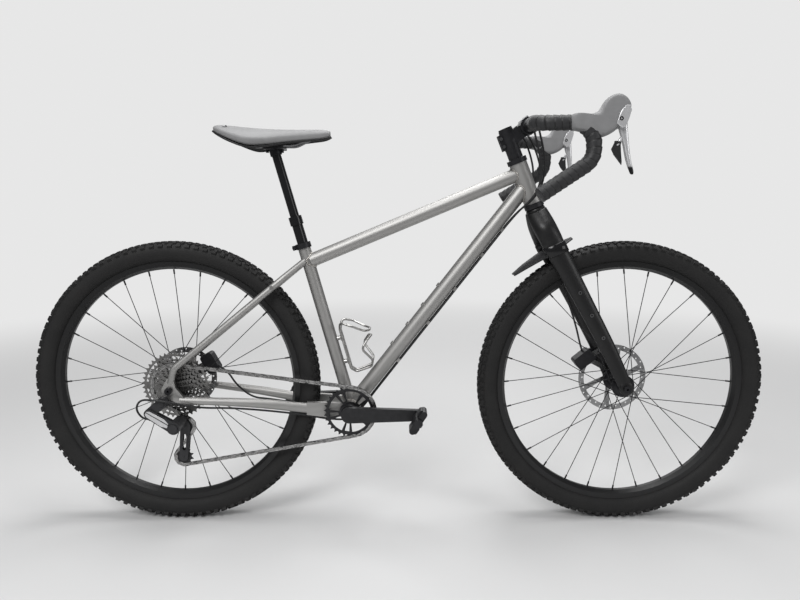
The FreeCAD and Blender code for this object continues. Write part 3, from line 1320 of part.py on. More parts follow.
# Bottle cage: one bent tube on each side, joined in front, bolted to the seat tube.
wire_radius = 3.0
rail_forward = seat_radius + cage_standoff + 1.0 + wire_radius
half_cage = [(rail_forward + 74, 0, 186), (rail_forward + 74, 16, 186), (rail_forward + 62, 32, 190),
             (rail_forward + 34, 42, 212), (rail_forward + 8, 30, 226), (rail_forward, 9, 205),
             (rail_forward, 9, 100), (rail_forward + 12, 9, 88),
             (rail_forward + 54, 14, 92), (rail_forward + 62, 24, 110), (rail_forward + 44, 42, 148),
             (rail_forward + 64, 30, 166), (rail_forward + 74, 16, 170), (rail_forward + 74, 0, 170)]
cage_bends = [12.0, 18.0, 18.0, 14.0, 12.0, 10.0, 8.0, 10.0, 14.0, 12.0, 10.0]
left_cage = bent_rod([on_seat_tube(*point) for point in half_cage], cage_bends, wire_radius)
cage_plates = []
for height in cage_boss_heights:
    plate = Part.makeBox(2, 26, 14, V(seat_radius + cage_standoff, -13, height - 7))
    plate = placed(plate, seat_place)
    bolt_foot = on_seat_tube(seat_radius, 0, height)
    bolt_hole = cylinder(bolt_foot, on_seat_tube(seat_radius + 20, 0, height), 2.5 + close_gap)
    cage_plates.append(plate.cut(bolt_hole).cut(left_cage).cut(mirrored(left_cage)))
saved("bottle_cage", joined(both_sides(left_cage)), *cage_plates)

# Dropper seatpost: an outer tube clamped in the frame, a sliding stanchion and a saddle
# clamp with two rails.
collar_low_end = seat_tube_length + 50.0
outer_low = 150.0
stanchion_low = outer_low + dropper_travel + 20
stanchion_top = collar_low_end + dropper_collar_height + dropper_travel + 20
outer_tube = cylinder(V(0, 0, outer_low), V(0, 0, collar_low_end), seatpost_diameter / 2)
collar_high_end = collar_low_end + dropper_collar_height
seal_collar = cylinder(V(0, 0, collar_low_end), V(0, 0, collar_high_end), seatpost_diameter / 2 + 3)
outer_tube = outer_tube.fuse(seal_collar).removeSplitter()
stanchion_room = cylinder(V(0, 0, outer_low + 8), V(0, 0, stanchion_top), stanchion_diameter / 2 + running_fit)
outer_tube = outer_tube.cut(stanchion_room)
saved("dropper_outer_tube", placed(outer_tube, seat_place))

stanchion = cylinder(V(0, 0, stanchion_low), V(0, 0, stanchion_top), stanchion_diameter / 2)
stanchion_bore = cylinder(V(0, 0, stanchion_low), V(0, 0, stanchion_top - 12), stanchion_diameter / 2 - 2)
stanchion = stanchion.cut(stanchion_bore)
saved("dropper_stanchion", placed(stanchion, seat_place))

rail_half_gap = 22.0
post_head = on_seat_tube(0, 0, stanchion_top)
rail_height = post_head.z + 9.0
clamp_length = 50.0
clamp_half_width = rail_half_gap + 7.0
cradle = Part.makeBox(clamp_length, 2 * clamp_half_width, 9,
                      V(post_head.x - clamp_length / 2, -clamp_half_width, rail_height - 9))
neck_foot = on_seat_tube(0, 0, stanchion_top - 14)
neck = cylinder(neck_foot, on_seat_tube(0, 0, stanchion_top + 4), stanchion_diameter / 2 + 3)
neck = neck.cut(placed(stanchion, seat_place))
upper_clamp = Part.makeBox(clamp_length - 6, 2 * clamp_half_width - 4, 7,
                           V(post_head.x - clamp_length / 2 + 3, 2 - clamp_half_width, rail_height + 0.4))
rail_rooms = []
for side in (-rail_half_gap, rail_half_gap):
    rail_rooms.append(cylinder(V(post_head.x - 60, side, rail_height), V(post_head.x + 60, side, rail_height),
                               rail_diameter / 2))
cradle = joined([cradle, neck])
bolts = []
for offset in (-clamp_length / 2 + 6.5, clamp_length / 2 - 6.5):
    bolt_line = V(post_head.x + offset, 0, rail_height)
    shank = cylinder(bolt_line - V(0, 0, 13), bolt_line + V(0, 0, 8.5), 2.5)
    bolts.append(joined([shank, cylinder(bolt_line - V(0, 0, 16), bolt_line - V(0, 0, 9), 3.8)]))
cutters = Part.makeCompound(rail_rooms)
cradle = cradle.cut(cutters).cut(placed(stanchion, seat_place)).cut(Part.makeCompound(bolts))
upper_clamp = upper_clamp.cut(cutters).cut(Part.makeCompound(bolts))
saved("saddle_clamp", max(cradle.Solids, key=lambda solid: solid.Volume), upper_clamp, *bolts)

# Saddle: a shell with a padded cover, crowned along its length with drawn-in flanks.
saddle_tail = post_head.x - 146.0
saddle_top = post_head.z + 53.0
half_saddle = saddle_width / 2
pad_thickness = 15.0
shell_thickness = 3.0
saddle_stations = (
    (0.006, 0.42, 5.0, -2.0, -11.0), (0.075, 0.83, 6.0, -10.0, -23.0), (0.18, 0.99, 3.5, -21.0, -38.0),
    (0.32, 1.0, 0.0, -33.0, -51.0), (0.46, 0.76, -2.5, -32.0, -48.0), (0.6, 0.52, -3.5, -26.0, -41.0),
    (0.78, 0.37, -3.5, -21.0, -34.0), (0.93, 0.3, -3.5, -17.0, -29.0), (0.995, 0.17, -7.0, -15.0, -23.0))


def saddle_section(station, shell):
    share, width, crown, edge, base = station
    x = saddle_tail + share * saddle_length
    half = half_saddle * width
    draw = half * 0.88
    bottom = saddle_top + base
    arch = saddle_top + crown - pad_thickness

    def bow(side, low, high):
        return Part.Arc(V(x, side, low), V(x, 0, high), V(x, -side, low)).toShape()

    def line(start, end):
        return Part.LineSegment(V(x, start[0], start[1]), V(x, end[0], end[1])).toShape()

    if shell:
        bottom -= side_gap
        arch -= side_gap
        inner = draw - shell_thickness
        edges = [bow(-draw, bottom, arch), line((draw, bottom), (inner, bottom)),
                 bow(inner, bottom, arch - shell_thickness), line((-inner, bottom), (-draw, bottom))]
        return Part.Wire(edges)
    flank = saddle_top + edge
    edges = [bow(-half, flank, saddle_top + crown), line((half, flank), (draw, bottom)),
             bow(draw, bottom, arch), line((-draw, bottom), (-half, flank))]
    return Part.Wire(edges)


saddle_cover = Part.makeLoft([saddle_section(station, False) for station in saddle_stations], True, True)
saddle_shell = Part.makeLoft([saddle_section(station, True) for station in saddle_stations], True, True)
rail_points = [V(saddle_tail + 36, 30, rail_height + 22), V(saddle_tail + 60, 28, rail_height + 18),
               V(post_head.x - 52, rail_half_gap, rail_height), V(post_head.x + 52, rail_half_gap, rail_height),
               V(saddle_tail + 240, 9, rail_height + 19), V(saddle_tail + 262, 7, rail_height + 22)]
left_rail = bent_rod(rail_points, [24.0, 24.0, 40.0, 24.0], rail_diameter / 2)
left_rail = left_rail.cut(saddle_cover).cut(saddle_shell)
left_rail = max(left_rail.Solids, key=lambda solid: solid.Volume)
saved("saddle_cover", saddle_cover)
saved("saddle_shell", saddle_shell)
saved("saddle_rails", *both_sides(left_rail))

# Hoses and housings: the rear brake hose and the shift housing leave the right side of the
# bar, pass the head tube and run under the down tube to the stays.
hose_side = hose_lift + down_radius
tape_end = tape_points[0].y - bar_center.y


def under_down_tube(step, side):
    spot = bracket + down_up * step + down_side * hose_side
    return V(spot.x, side, spot.z)


def from_bar(forward, side, up):
    return bar_center + V(forward, side, up)


def beside_head(forward, side, up):
    return on_steerer(forward, side, head_bottom_height + up)


last_guide = guide_steps[-1] + 5.0
hose_turn_in = down_tube_length - 69.0
bar_brake_hose = hose([
    from_bar(10.9, -tape_end, -8.9), from_bar(13.4, -64, -6.8), beside_head(62.3, -41, 116.5),
    beside_head(52.0, -34, 73.2), beside_head(32.2, -31, 35.9), beside_head(-2.7, -31, 9.2),
    under_down_tube(hose_turn_in, 5), under_down_tube(last_guide, hose_line)])
bar_shift_housing = hose([
    from_bar(0, -tape_end + 2.4, -16.8), from_bar(3, -66, -14.9), beside_head(47.9, -52, 118.2),
    beside_head(40.4, -45, 71.5), beside_head(19.9, -40, 32.3), beside_head(-13.4, -38, 9.4),
    under_down_tube(hose_turn_in, -9), under_down_tube(last_guide, -hose_line)])
bar_dropper_housing = hose([
    from_bar(0, tape_end - 2.4, -16.8), from_bar(3, 66, -14.9), beside_head(47.9, 50, 118.2),
    beside_head(38.6, 40, 72.2), beside_head(18.0, 33, 33.1), beside_head(-13.5, 24, 22.4),
    beside_head(-47.4, 16, 8.3)])
bar_dropper_housing = bar_dropper_housing.cut(down_tube)
bar_dropper_housing = max(bar_dropper_housing.Solids, key=lambda solid: solid.Volume)
saved("steering_hoses", bar_brake_hose, bar_shift_housing, bar_dropper_housing)

stay_underside = hose_diameter / 2 + 2.6
stay_hose_spots = [V(x, y, z - half_height - stay_underside)
                   for x, y, z, half_width, half_height in stay_stations[:5]]
under_bracket = bracket + V(4, hose_line, -bracket_shell_diameter / 2 - 15)
beside_yoke = V(bracket.x - 60, 32, bracket.z - 25)
frame_brake_hose = hose([
    under_down_tube(last_guide - side_gap, hose_line), under_down_tube(90, hose_line), under_bracket,
    beside_yoke, stay_hose_spots[0], stay_hose_spots[1], stay_hose_spots[2] + V(0, -4, -1),
    rear_caliper_place + V(111, 46, -94), rear_caliper_place + V(69, 44, -58),
    rear_caliper_place + V(45, 48, -18), rear_caliper_place + V(6, rear_rotor_line - 8, 4)])
frame_brake_hose = frame_brake_hose.cut(Part.makeCompound(rear_caliper))
frame_brake_hose = max(frame_brake_hose.Solids, key=lambda solid: solid.Volume)


def right_side(spot):
    return V(spot.x, -spot.y, spot.z)


loop_middle = housing_stop_end + V(1, 0, 27)
frame_shift_housing = hose([
    under_down_tube(last_guide - side_gap, -hose_line), under_down_tube(90, -hose_line),
    right_side(under_bracket), right_side(beside_yoke), right_side(stay_hose_spots[0]),
    right_side(stay_hose_spots[1]), right_side(stay_hose_spots[2]), right_side(stay_hose_spots[3]),
    right_side(stay_hose_spots[4]) + V(0, 0, -4),
    loop_middle + V(62, -16, 20), loop_middle + V(20, -18, 27), loop_middle + V(-15.6, -13, 27),
    loop_middle + V(-31, -6, 0), loop_middle + V(-15.6, 0, -28), housing_stop_end + V(-0.1, 0, 0)])
saved("frame_hoses", frame_brake_hose, frame_shift_housing)

# Front brake hose: from the left side of the bar into the fork crown, down inside the
# leg, and out again above the caliper.
upper_front_hose = hose([
    from_bar(10.9, tape_end, -8.9), from_bar(13.4, 64, -6.8), beside_head(64.5, 50, 111.3),
    beside_head(55.3, 42, 57.7), beside_head(35.2, 38, 11.9), on_steerer(8, 34, fork_length - 35)])
upper_front_hose = upper_front_hose.cut(fork)
upper_front_hose = max(upper_front_hose.Solids, key=lambda solid: solid.Volume)
lower_front_hose = hose([
    on_steerer(12, 45, 300), on_steerer(3, 37, 258), on_steerer(0, 37, 180), on_steerer(-7, 48, 112),
    on_steerer(-8, 50, 88)])
lower_front_hose = lower_front_hose.cut(fork).cut(Part.makeCompound(front_caliper))
lower_front_hose = max(lower_front_hose.Solids, key=lambda solid: solid.Volume)
saved("front_brake_hose", upper_front_hose, lower_front_hose)
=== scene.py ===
import math
import bmesh
import bpy
from mathutils import Matrix, Vector


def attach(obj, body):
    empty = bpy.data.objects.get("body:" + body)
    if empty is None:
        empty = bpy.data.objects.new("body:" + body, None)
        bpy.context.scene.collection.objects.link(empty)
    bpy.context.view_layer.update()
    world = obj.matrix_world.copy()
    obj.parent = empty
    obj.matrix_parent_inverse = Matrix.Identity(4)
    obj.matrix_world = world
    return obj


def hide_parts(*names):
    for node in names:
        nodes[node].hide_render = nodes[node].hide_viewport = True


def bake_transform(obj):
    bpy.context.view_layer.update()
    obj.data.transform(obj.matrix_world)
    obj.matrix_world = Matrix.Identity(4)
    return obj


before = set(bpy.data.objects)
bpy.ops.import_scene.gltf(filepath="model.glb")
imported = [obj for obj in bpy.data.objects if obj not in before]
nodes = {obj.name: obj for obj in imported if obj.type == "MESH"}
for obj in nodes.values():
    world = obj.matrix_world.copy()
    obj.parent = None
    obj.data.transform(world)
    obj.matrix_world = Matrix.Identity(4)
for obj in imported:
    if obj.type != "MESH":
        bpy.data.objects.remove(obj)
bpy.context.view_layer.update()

# Room: a pale seamless floor, a pale surround and large soft lamps.
# The camera stands at the drive side, at about handlebar height.
scene = bpy.context.scene
scene.view_settings.view_transform = "Standard"
camera_data = bpy.data.cameras.new("camera")
camera_data.sensor_fit = "HORIZONTAL"
camera_data.sensor_width = 36.0
camera_data.lens = 28.38
camera = bpy.data.objects.new("camera", camera_data)
camera_tilt, camera_turn = -8.46, -0.07
camera.location = (0.001, -1.603, 0.823)
camera.rotation_euler = (math.radians(90 + camera_tilt), 0, math.radians(camera_turn))
scene.collection.objects.link(camera)
scene.camera = camera

backdrop_tone = (0.80, 0.80, 0.80, 1)
world = bpy.data.worlds.new("surround")
scene.world = world
world.use_nodes = True
room = world.node_tree
room_light = room.nodes["Background"]
room_light.inputs["Color"].default_value = (0.97, 0.98, 1.0, 1)
room_light.inputs["Strength"].default_value = 0.17
room_seen = room.nodes.new("ShaderNodeBackground")
room_seen.inputs["Color"].default_value = backdrop_tone
room_seen.inputs["Strength"].default_value = 1.0
room_rays = room.nodes.new("ShaderNodeLightPath")
room_pick = room.nodes.new("ShaderNodeMath")
room_pick.operation = "MAXIMUM"
room.links.new(room_rays.outputs["Is Camera Ray"], room_pick.inputs[0])
room.links.new(room_rays.outputs["Is Transmission Ray"], room_pick.inputs[1])
room_mix = room.nodes.new("ShaderNodeMixShader")
room.links.new(room_pick.outputs[0], room_mix.inputs[0])
room.links.new(room_light.outputs[0], room_mix.inputs[1])
room.links.new(room_seen.outputs[0], room_mix.inputs[2])
room.links.new(room_mix.outputs[0], room.nodes["World Output"].inputs["Surface"])


def add_lamp(name, place, aim, size, power):
    lamp = bpy.data.lights.new(name, "AREA")
    lamp.shape = "SQUARE"
    lamp.size = size
    lamp.energy = power
    holder = bpy.data.objects.new(name, lamp)
    holder.location = place
    holder.rotation_euler = (Vector(aim) - Vector(place)).to_track_quat("-Z", "Y").to_euler()
    scene.collection.objects.link(holder)


add_lamp("lamp_key", (-1.5, -2.6, 3.0), (0, 0, 0.5), 1.6, 92)
add_lamp("lamp_top", (0.2, 0.3, 3.4), (0, 0, 0), 2.0, 84)
add_lamp("lamp_side", (3.0, -1.8, 1.5), (0.2, 0, 0.6), 1.4, 20)
add_lamp("lamp_back", (0.4, 2.8, 2.2), (0, 0, 0.5), 2.4, 26)

floor_mesh = bpy.data.meshes.new("floor")
floor_half = 30.0
floor_mesh.from_pydata([(-floor_half, -floor_half, 0), (floor_half, -floor_half, 0),
                        (floor_half, floor_half, 0), (-floor_half, floor_half, 0)], [], [(0, 1, 2, 3)])
floor = bpy.data.objects.new("floor", floor_mesh)
scene.collection.objects.link(floor)
floor_paint = bpy.data.materials.new("pale_floor")
floor_paint.use_nodes = True
floor_tree = floor_paint.node_tree
floor_shader = floor_tree.nodes["Principled BSDF"]
floor_shader.inputs["Base Color"].default_value = (0.62, 0.62, 0.62, 1)
floor_shader.inputs["Roughness"].default_value = 0.9
floor_far = floor_tree.nodes.new("ShaderNodeEmission")
floor_far.inputs["Color"].default_value = backdrop_tone
floor_rays = floor_tree.nodes.new("ShaderNodeLightPath")
floor_glow = floor_tree.nodes.new("ShaderNodeMapRange")
floor_glow.inputs["To Min"].default_value = 0.25
floor_tree.links.new(floor_rays.outputs["Is Camera Ray"], floor_glow.inputs["Value"])
floor_tree.links.new(floor_glow.outputs["Result"], floor_far.inputs["Strength"])
floor_place = floor_tree.nodes.new("ShaderNodeTexCoord")
floor_reach = floor_tree.nodes.new("ShaderNodeVectorMath")
floor_reach.operation = "LENGTH"
floor_fade = floor_tree.nodes.new("ShaderNodeMapRange")
floor_fade.interpolation_type = "SMOOTHSTEP"
floor_fade.inputs["From Min"].default_value = 1.2
floor_fade.inputs["From Max"].default_value = 4.2
floor_mix = floor_tree.nodes.new("ShaderNodeMixShader")
for source, target in (
        (floor_place.outputs["Object"], floor_reach.inputs[0]),
        (floor_reach.outputs["Value"], floor_fade.inputs["Value"]),
        (floor_fade.outputs["Result"], floor_mix.inputs[0]),
        (floor_shader.outputs[0], floor_mix.inputs[1]),
        (floor_far.outputs[0], floor_mix.inputs[2]),
        (floor_mix.outputs[0], floor_tree.nodes["Material Output"].inputs["Surface"])):
    floor_tree.links.new(source, target)
floor_mesh.materials.append(floor_paint)

# Frame tubes: bare satin titanium, drawn and brushed along each tube, then mitred and
# welded. The grain runs along the tube, with faint darker and warmer patches.
marks = bpy.data.node_groups.new("surface_marks", "ShaderNodeTree")
marks.interface.new_socket("Vector", in_out="INPUT", socket_type="NodeSocketVector")
marks.interface.new_socket("Scale", in_out="INPUT", socket_type="NodeSocketFloat")
marks.interface.new_socket("Fine", in_out="OUTPUT", socket_type="NodeSocketFloat")
marks.interface.new_socket("Broad", in_out="OUTPUT", socket_type="NodeSocketFloat")
marks_in = marks.nodes.new("NodeGroupInput")
marks_out = marks.nodes.new("NodeGroupOutput")
fine = marks.nodes.new("ShaderNodeTexNoise")
fine.inputs["Detail"].default_value = 4.0
broad = marks.nodes.new("ShaderNodeTexNoise")
broad.inputs["Detail"].default_value = 3.0
slower = marks.nodes.new("ShaderNodeMath")
slower.operation = "MULTIPLY"
slower.inputs[1].default_value = 0.06
marks.links.new(marks_in.outputs["Vector"], fine.inputs["Vector"])
marks.links.new(marks_in.outputs["Scale"], fine.inputs["Scale"])
marks.links.new(marks_in.outputs["Vector"], broad.inputs["Vector"])
marks.links.new(marks_in.outputs["Scale"], slower.inputs[0])
marks.links.new(slower.outputs[0], broad.inputs["Scale"])
marks.links.new(fine.outputs["Fac"], marks_out.inputs["Fine"])
marks.links.new(broad.outputs["Fac"], marks_out.inputs["Broad"])


def tint(material, share, low, high):
    """Colours a finish between two tones, each a colour or another node's output."""
    tree = material.node_tree
    tone = tree.nodes.new("ShaderNodeMix")
    tone.data_type = "RGBA"
    for socket, value in ((tone.inputs[6], low), (tone.inputs[7], high)):
        if isinstance(value, tuple):
            socket.default_value = (*value, 1)
        else:
            tree.links.new(value, socket)
    tree.links.new(share, tone.inputs[0])
    tree.links.new(tone.outputs[2], tree.nodes["Principled BSDF"].inputs["Base Color"])


def surface(name, dark, light, rough, scale, depth, metallic=0.0, turn=0.0, stretch=1.0, coat=0.0):
    """A finish with grain: two tones, a roughness range and a fine bump."""
    material = bpy.data.materials.new(name)
    material.use_nodes = True
    tree = material.node_tree
    shader = tree.nodes["Principled BSDF"]
    shader.inputs["Metallic"].default_value = metallic
    shader.inputs["Specular IOR Level"].default_value = 0.3
    if coat:
        shader.inputs["Coat Weight"].default_value = coat
        shader.inputs["Coat Roughness"].default_value = 0.25
    place = tree.nodes.new("ShaderNodeTexCoord")
    aim = tree.nodes.new("ShaderNodeMapping")
    aim.vector_type = "TEXTURE"
    aim.inputs["Rotation"].default_value = (0, -math.radians(turn), 0)
    aim.inputs["Scale"].default_value = (stretch, 1, 1)
    grain = tree.nodes.new("ShaderNodeGroup")
    grain.node_tree = marks
    grain.inputs["Scale"].default_value = scale
    tree.links.new(place.outputs["Object"], aim.inputs["Vector"])
    tree.links.new(aim.outputs["Vector"], grain.inputs["Vector"])
    tint(material, grain.outputs["Broad"], dark, light)
    gloss = tree.nodes.new("ShaderNodeMapRange")
    gloss.inputs["From Min"].default_value = 0.3
    gloss.inputs["From Max"].default_value = 0.7
    gloss.inputs["To Min"].default_value = rough[0]
    gloss.inputs["To Max"].default_value = rough[1]
    tree.links.new(grain.outputs["Fine"], gloss.inputs["Value"])
    tree.links.new(gloss.outputs["Result"], shader.inputs["Roughness"])
    bump = tree.nodes.new("ShaderNodeBump")
    bump.inputs["Distance"].default_value = depth
    bump.inputs["Strength"].default_value = 0.5
    tree.links.new(grain.outputs["Fine"], bump.inputs["Height"])
    tree.links.new(bump.outputs["Normal"], shader.inputs["Normal"])
    return material


def dress(material, *names):
    for name in names:
        mesh = nodes[name].data
        if mesh.materials:
            for number in range(len(mesh.materials)):
                mesh.materials[number] = material
        else:
            mesh.materials.append(material)


titanium_dark = (0.34, 0.336, 0.328)
titanium_light = (0.46, 0.454, 0.444)


def titanium(name, turn):
    return surface(name, titanium_dark, titanium_light, rough=(0.5, 0.58), metallic=1.0, scale=1400,
                   depth=0.000005, turn=turn, stretch=14.0)


dress(titanium("titanium_head", 112.5), "head_tube")
dress(titanium("titanium_top", 22.5), "top_tube")
dress(titanium("titanium_down", 52.2), "down_tube")
dress(titanium("titanium_seat", 105.5), "seat_tube")
dress(titanium("titanium_seatstay", 39.3), "seatstays")
dress(titanium("titanium_chainstay", 6.0), "chainstays")
titanium_cut = surface("titanium_machined", titanium_dark, titanium_light, rough=(0.28, 0.42),
                       metallic=1.0, scale=1600, depth=0.00004)
dress(titanium_cut, "bottom_bracket_shell", "dropouts", "frame_bosses", "bottle_cage")


# Weld beads: a row of overlapping ripples round each tube joint, left as welded and
# slightly darker than the tubes.
def bead_ring(foot, run, radius, other_foot, other_run, other_radius, count):
    """Points where the lines along one tube's skin meet the skin of another tube."""
    run = Vector(run).normalized()
    other_run = Vector(other_run).normalized()
    side = run.cross(Vector((0, 1, 0))).normalized()
    points = []
    for number in range(count):
        angle = 2 * math.pi * number / count
        start = Vector(foot) + (side * math.cos(angle) + Vector((0, 1, 0)) * math.sin(angle)) * radius
        gap = start - Vector(other_foot)
        gap -= other_run * gap.dot(other_run)
        slide = run - other_run * run.dot(other_run)
        a = slide.dot(slide)
        b = gap.dot(slide)
        c = gap.dot(gap) - other_radius ** 2
        root = math.sqrt(max(0.0, b * b - a * c))
        points.append(start + run * ((-b - root) / a))
    return points


bead_sides = 8
ripple_height = 0.16


def bridge(bm, here, there):
    """Faces between two rings with the same number of points."""
    for k in range(len(here)):
        after = (k + 1) % len(here)
        bm.faces.new((here[k], here[after], there[after], there[k]))


def add_bead(bm, points, thickness, ripples):
    """A rippled ring of weld along points that close on themselves."""
    count = len(points)
    middle = sum(points, Vector()) / count
    rings = []
    for number, point in enumerate(points):
        along = (points[(number + 1) % count] - points[number - 1]).normalized()
        outward = (point - middle).normalized()
        outward = (outward - along * outward.dot(along)).normalized()
        third = along.cross(outward)
        swell = thickness * (1 + ripple_height * math.cos(2 * math.pi * ripples * number / count))
        ring = []
        for k in range(bead_sides):
            angle = 2 * math.pi * k / bead_sides
            ring.append(bm.verts.new(point + (outward * math.cos(angle) + third * math.sin(angle)) * swell))
        rings.append(ring)
    for number in range(count):
        bridge(bm, rings[number], rings[(number + 1) % count])


def finished_mesh(name, bm, material, smooth=True):
    """A named object from a built mesh, with its faces turned outward."""
    bmesh.ops.remove_doubles(bm, verts=bm.verts, dist=1e-6)
    bmesh.ops.recalc_face_normals(bm, faces=bm.faces)
    mesh = bpy.data.meshes.new(name)
    bm.to_mesh(mesh)
    bm.free()
    mesh.materials.append(material)
    for polygon in mesh.polygons:
        polygon.use_smooth = smooth
    piece = bpy.data.objects.new(name, mesh)
    scene.collection.objects.link(piece)
    return piece


bracket = Vector((-0.125, 0, 0.303))
top_front = Vector((0.3060, 0, 0.9053))
top_run, top_radius = Vector((-0.9239, 0, -0.3827)), 0.01745
down_run, down_radius = Vector((0.6130, 0, 0.7901)), 0.01905
seat_run, seat_radius = Vector((-0.2672, 0, 0.9636)), 0.0159
head_skin = ((0.3370, 0, 0.8305), (-0.3827, 0, 0.9239), 0.022)
seat_skin = (bracket, seat_run, seat_radius)
shell_skin = (bracket, (0, 1, 0), 0.021)
top_start = top_front + top_run * 0.2
down_start = bracket + down_run * 0.4
seat_start = bracket + seat_run * 0.3
points_per_ripple = 5
bead_mesh = bmesh.new()
for foot, run, radius, other_skin, ripples, thickness in (
        (top_start, -top_run, top_radius, head_skin, 30, 0.0021),
        (top_start, top_run, top_radius, seat_skin, 30, 0.0021),
        (down_start, down_run, down_radius, head_skin, 32, 0.0022),
        (down_start, -down_run, down_radius, shell_skin, 32, 0.0022),
        (seat_start, -seat_run, seat_radius, shell_skin, 28, 0.0020)):
    ring = bead_ring(foot, run, radius, *other_skin, points_per_ripple * ripples)
    add_bead(bead_mesh, ring, thickness, ripples)
bead_metal = surface("weld_bead", (0.30, 0.285, 0.27), (0.52, 0.50, 0.47), rough=(0.28, 0.45),
                     metallic=1.0, scale=700, depth=0.0001)
beads = finished_mesh("weld_beads", bead_mesh, bead_metal)
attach(beads, "frame")

# Tyres: black rubber casings with low tapered knobs, dense along the middle and set
# wider apart along both shoulders. Each is seated in its rim.
tyre_rubber = surface("tyre_rubber", (0.010, 0.010, 0.0105), (0.019, 0.0185, 0.018), rough=(0.60, 0.80),
                      scale=420, depth=0.0002)
tread = bpy.data.node_groups.new("tread_row", "GeometryNodeTree")
tread.is_modifier = True
tread.interface.new_socket("Geometry", in_out="OUTPUT", socket_type="NodeSocketGeometry")
for label, kind in (("Count", "NodeSocketInt"), ("Radius", "NodeSocketFloat"),
                    ("Length", "NodeSocketFloat"), ("Width", "NodeSocketFloat"),
                    ("Height", "NodeSocketFloat"), ("Lean", "NodeSocketFloat"),
                    ("Phase", "NodeSocketFloat"), ("Place", "NodeSocketVector"),
                    ("Rubber", "NodeSocketMaterial")):
    tread.interface.new_socket(label, in_out="INPUT", socket_type=kind)
row_in = tread.nodes.new("NodeGroupInput")
row_out = tread.nodes.new("NodeGroupOutput")
circle = tread.nodes.new("GeometryNodeMeshCircle")
knob = tread.nodes.new("GeometryNodeMeshCone")
knob.inputs["Vertices"].default_value = 4
knob.inputs["Radius Top"].default_value = 0.56
knob.inputs["Radius Bottom"].default_value = 0.7071
knob.inputs["Depth"].default_value = 1.0
square = tread.nodes.new("GeometryNodeTransform")
square.inputs["Rotation"].default_value = (0, 0, math.radians(45))
knob_size = tread.nodes.new("ShaderNodeCombineXYZ")
sized = tread.nodes.new("GeometryNodeTransform")
upright = tread.nodes.new("GeometryNodeTransform")
upright.inputs["Rotation"].default_value = (0, math.radians(90), 0)
lean_turn = tread.nodes.new("ShaderNodeCombineXYZ")
leaned = tread.nodes.new("GeometryNodeTransform")
spread = tread.nodes.new("GeometryNodeInstanceOnPoints")
index = tread.nodes.new("GeometryNodeInputIndex")
step = tread.nodes.new("ShaderNodeMath")
step.operation = "DIVIDE"
step.inputs[0].default_value = 2 * math.pi
angle_node = tread.nodes.new("ShaderNodeMath")
angle_node.operation = "MULTIPLY"
facing = tread.nodes.new("ShaderNodeCombineXYZ")
real = tread.nodes.new("GeometryNodeRealizeInstances")
stand = tread.nodes.new("GeometryNodeTransform")
stand.inputs["Rotation"].default_value = (math.radians(90), 0, 0)
phase_turn = tread.nodes.new("ShaderNodeCombineXYZ")
moved = tread.nodes.new("GeometryNodeTransform")
paint = tread.nodes.new("GeometryNodeSetMaterial")
for source, target in (
        (row_in.outputs["Count"], circle.inputs["Vertices"]),
        (row_in.outputs["Radius"], circle.inputs["Radius"]),
        (knob.outputs["Mesh"], square.inputs["Geometry"]),
        (row_in.outputs["Width"], knob_size.inputs[0]),
        (row_in.outputs["Length"], knob_size.inputs[1]),
        (row_in.outputs["Height"], knob_size.inputs[2]),
        (square.outputs[0], sized.inputs["Geometry"]),
        (knob_size.outputs[0], sized.inputs["Scale"]),
        (sized.outputs[0], upright.inputs["Geometry"]),
        (row_in.outputs["Lean"], lean_turn.inputs[1]),
        (upright.outputs[0], leaned.inputs["Geometry"]),
        (lean_turn.outputs[0], leaned.inputs["Rotation"]),
        (circle.outputs["Mesh"], spread.inputs["Points"]),
        (leaned.outputs[0], spread.inputs["Instance"]),
        (row_in.outputs["Count"], step.inputs[1]),
        (index.outputs[0], angle_node.inputs[0]), (step.outputs[0], angle_node.inputs[1]),
        (angle_node.outputs[0], facing.inputs[2]),
        (facing.outputs[0], spread.inputs["Rotation"]),
        (spread.outputs[0], real.inputs[0]), (real.outputs[0], stand.inputs["Geometry"]),
        (stand.outputs[0], moved.inputs["Geometry"]),
        (row_in.outputs["Phase"], phase_turn.inputs[1]),
        (phase_turn.outputs[0], moved.inputs["Rotation"]),
        (row_in.outputs["Place"], moved.inputs["Translation"]),
        (moved.outputs[0], paint.inputs["Geometry"]),
        (row_in.outputs["Rubber"], paint.inputs["Material"]),
        (paint.outputs[0], row_out.inputs[0])):
    tread.links.new(source, target)


def grown(tree, name, values):
    """The plain mesh that a tree of nodes makes from its named inputs."""
    holder = bpy.data.objects.new(name, bpy.data.meshes.new(name))
    scene.collection.objects.link(holder)
    maker = holder.modifiers.new("make", "NODES")
    maker.node_group = tree
    for item in tree.interface.items_tree:
        if item.in_out == "INPUT" and item.name in values:
            maker[item.identifier] = values[item.name]
    graph = bpy.context.evaluated_depsgraph_get()
    mesh = bpy.data.meshes.new_from_object(holder.evaluated_get(graph))
    bpy.data.objects.remove(holder)
    return mesh


def arc_points(first, middle, last, count):
    """Evenly spaced points on the arc through three points of a plane."""
    (ax, ay), (bx, by), (cx, cy) = first, middle, last
    d = 2 * (ax * (by - cy) + bx * (cy - ay) + cx * (ay - by))
    a, b, c = ax * ax + ay * ay, bx * bx + by * by, cx * cx + cy * cy
    ux = (a * (by - cy) + b * (cy - ay) + c * (ay - by)) / d
    uy = (a * (cx - bx) + b * (ax - cx) + c * (bx - ax)) / d
    radius = math.hypot(ax - ux, ay - uy)
    start = math.atan2(ay - uy, ax - ux)
    via = (math.atan2(by - uy, bx - ux) - start) % (2 * math.pi)
    total = (math.atan2(cy - uy, cx - ux) - start) % (2 * math.pi)
    if via > total:
        total -= 2 * math.pi
    return [(ux + radius * math.cos(start + total * k / (count - 1)),
             uy + radius * math.sin(start + total * k / (count - 1))) for k in range(count)]


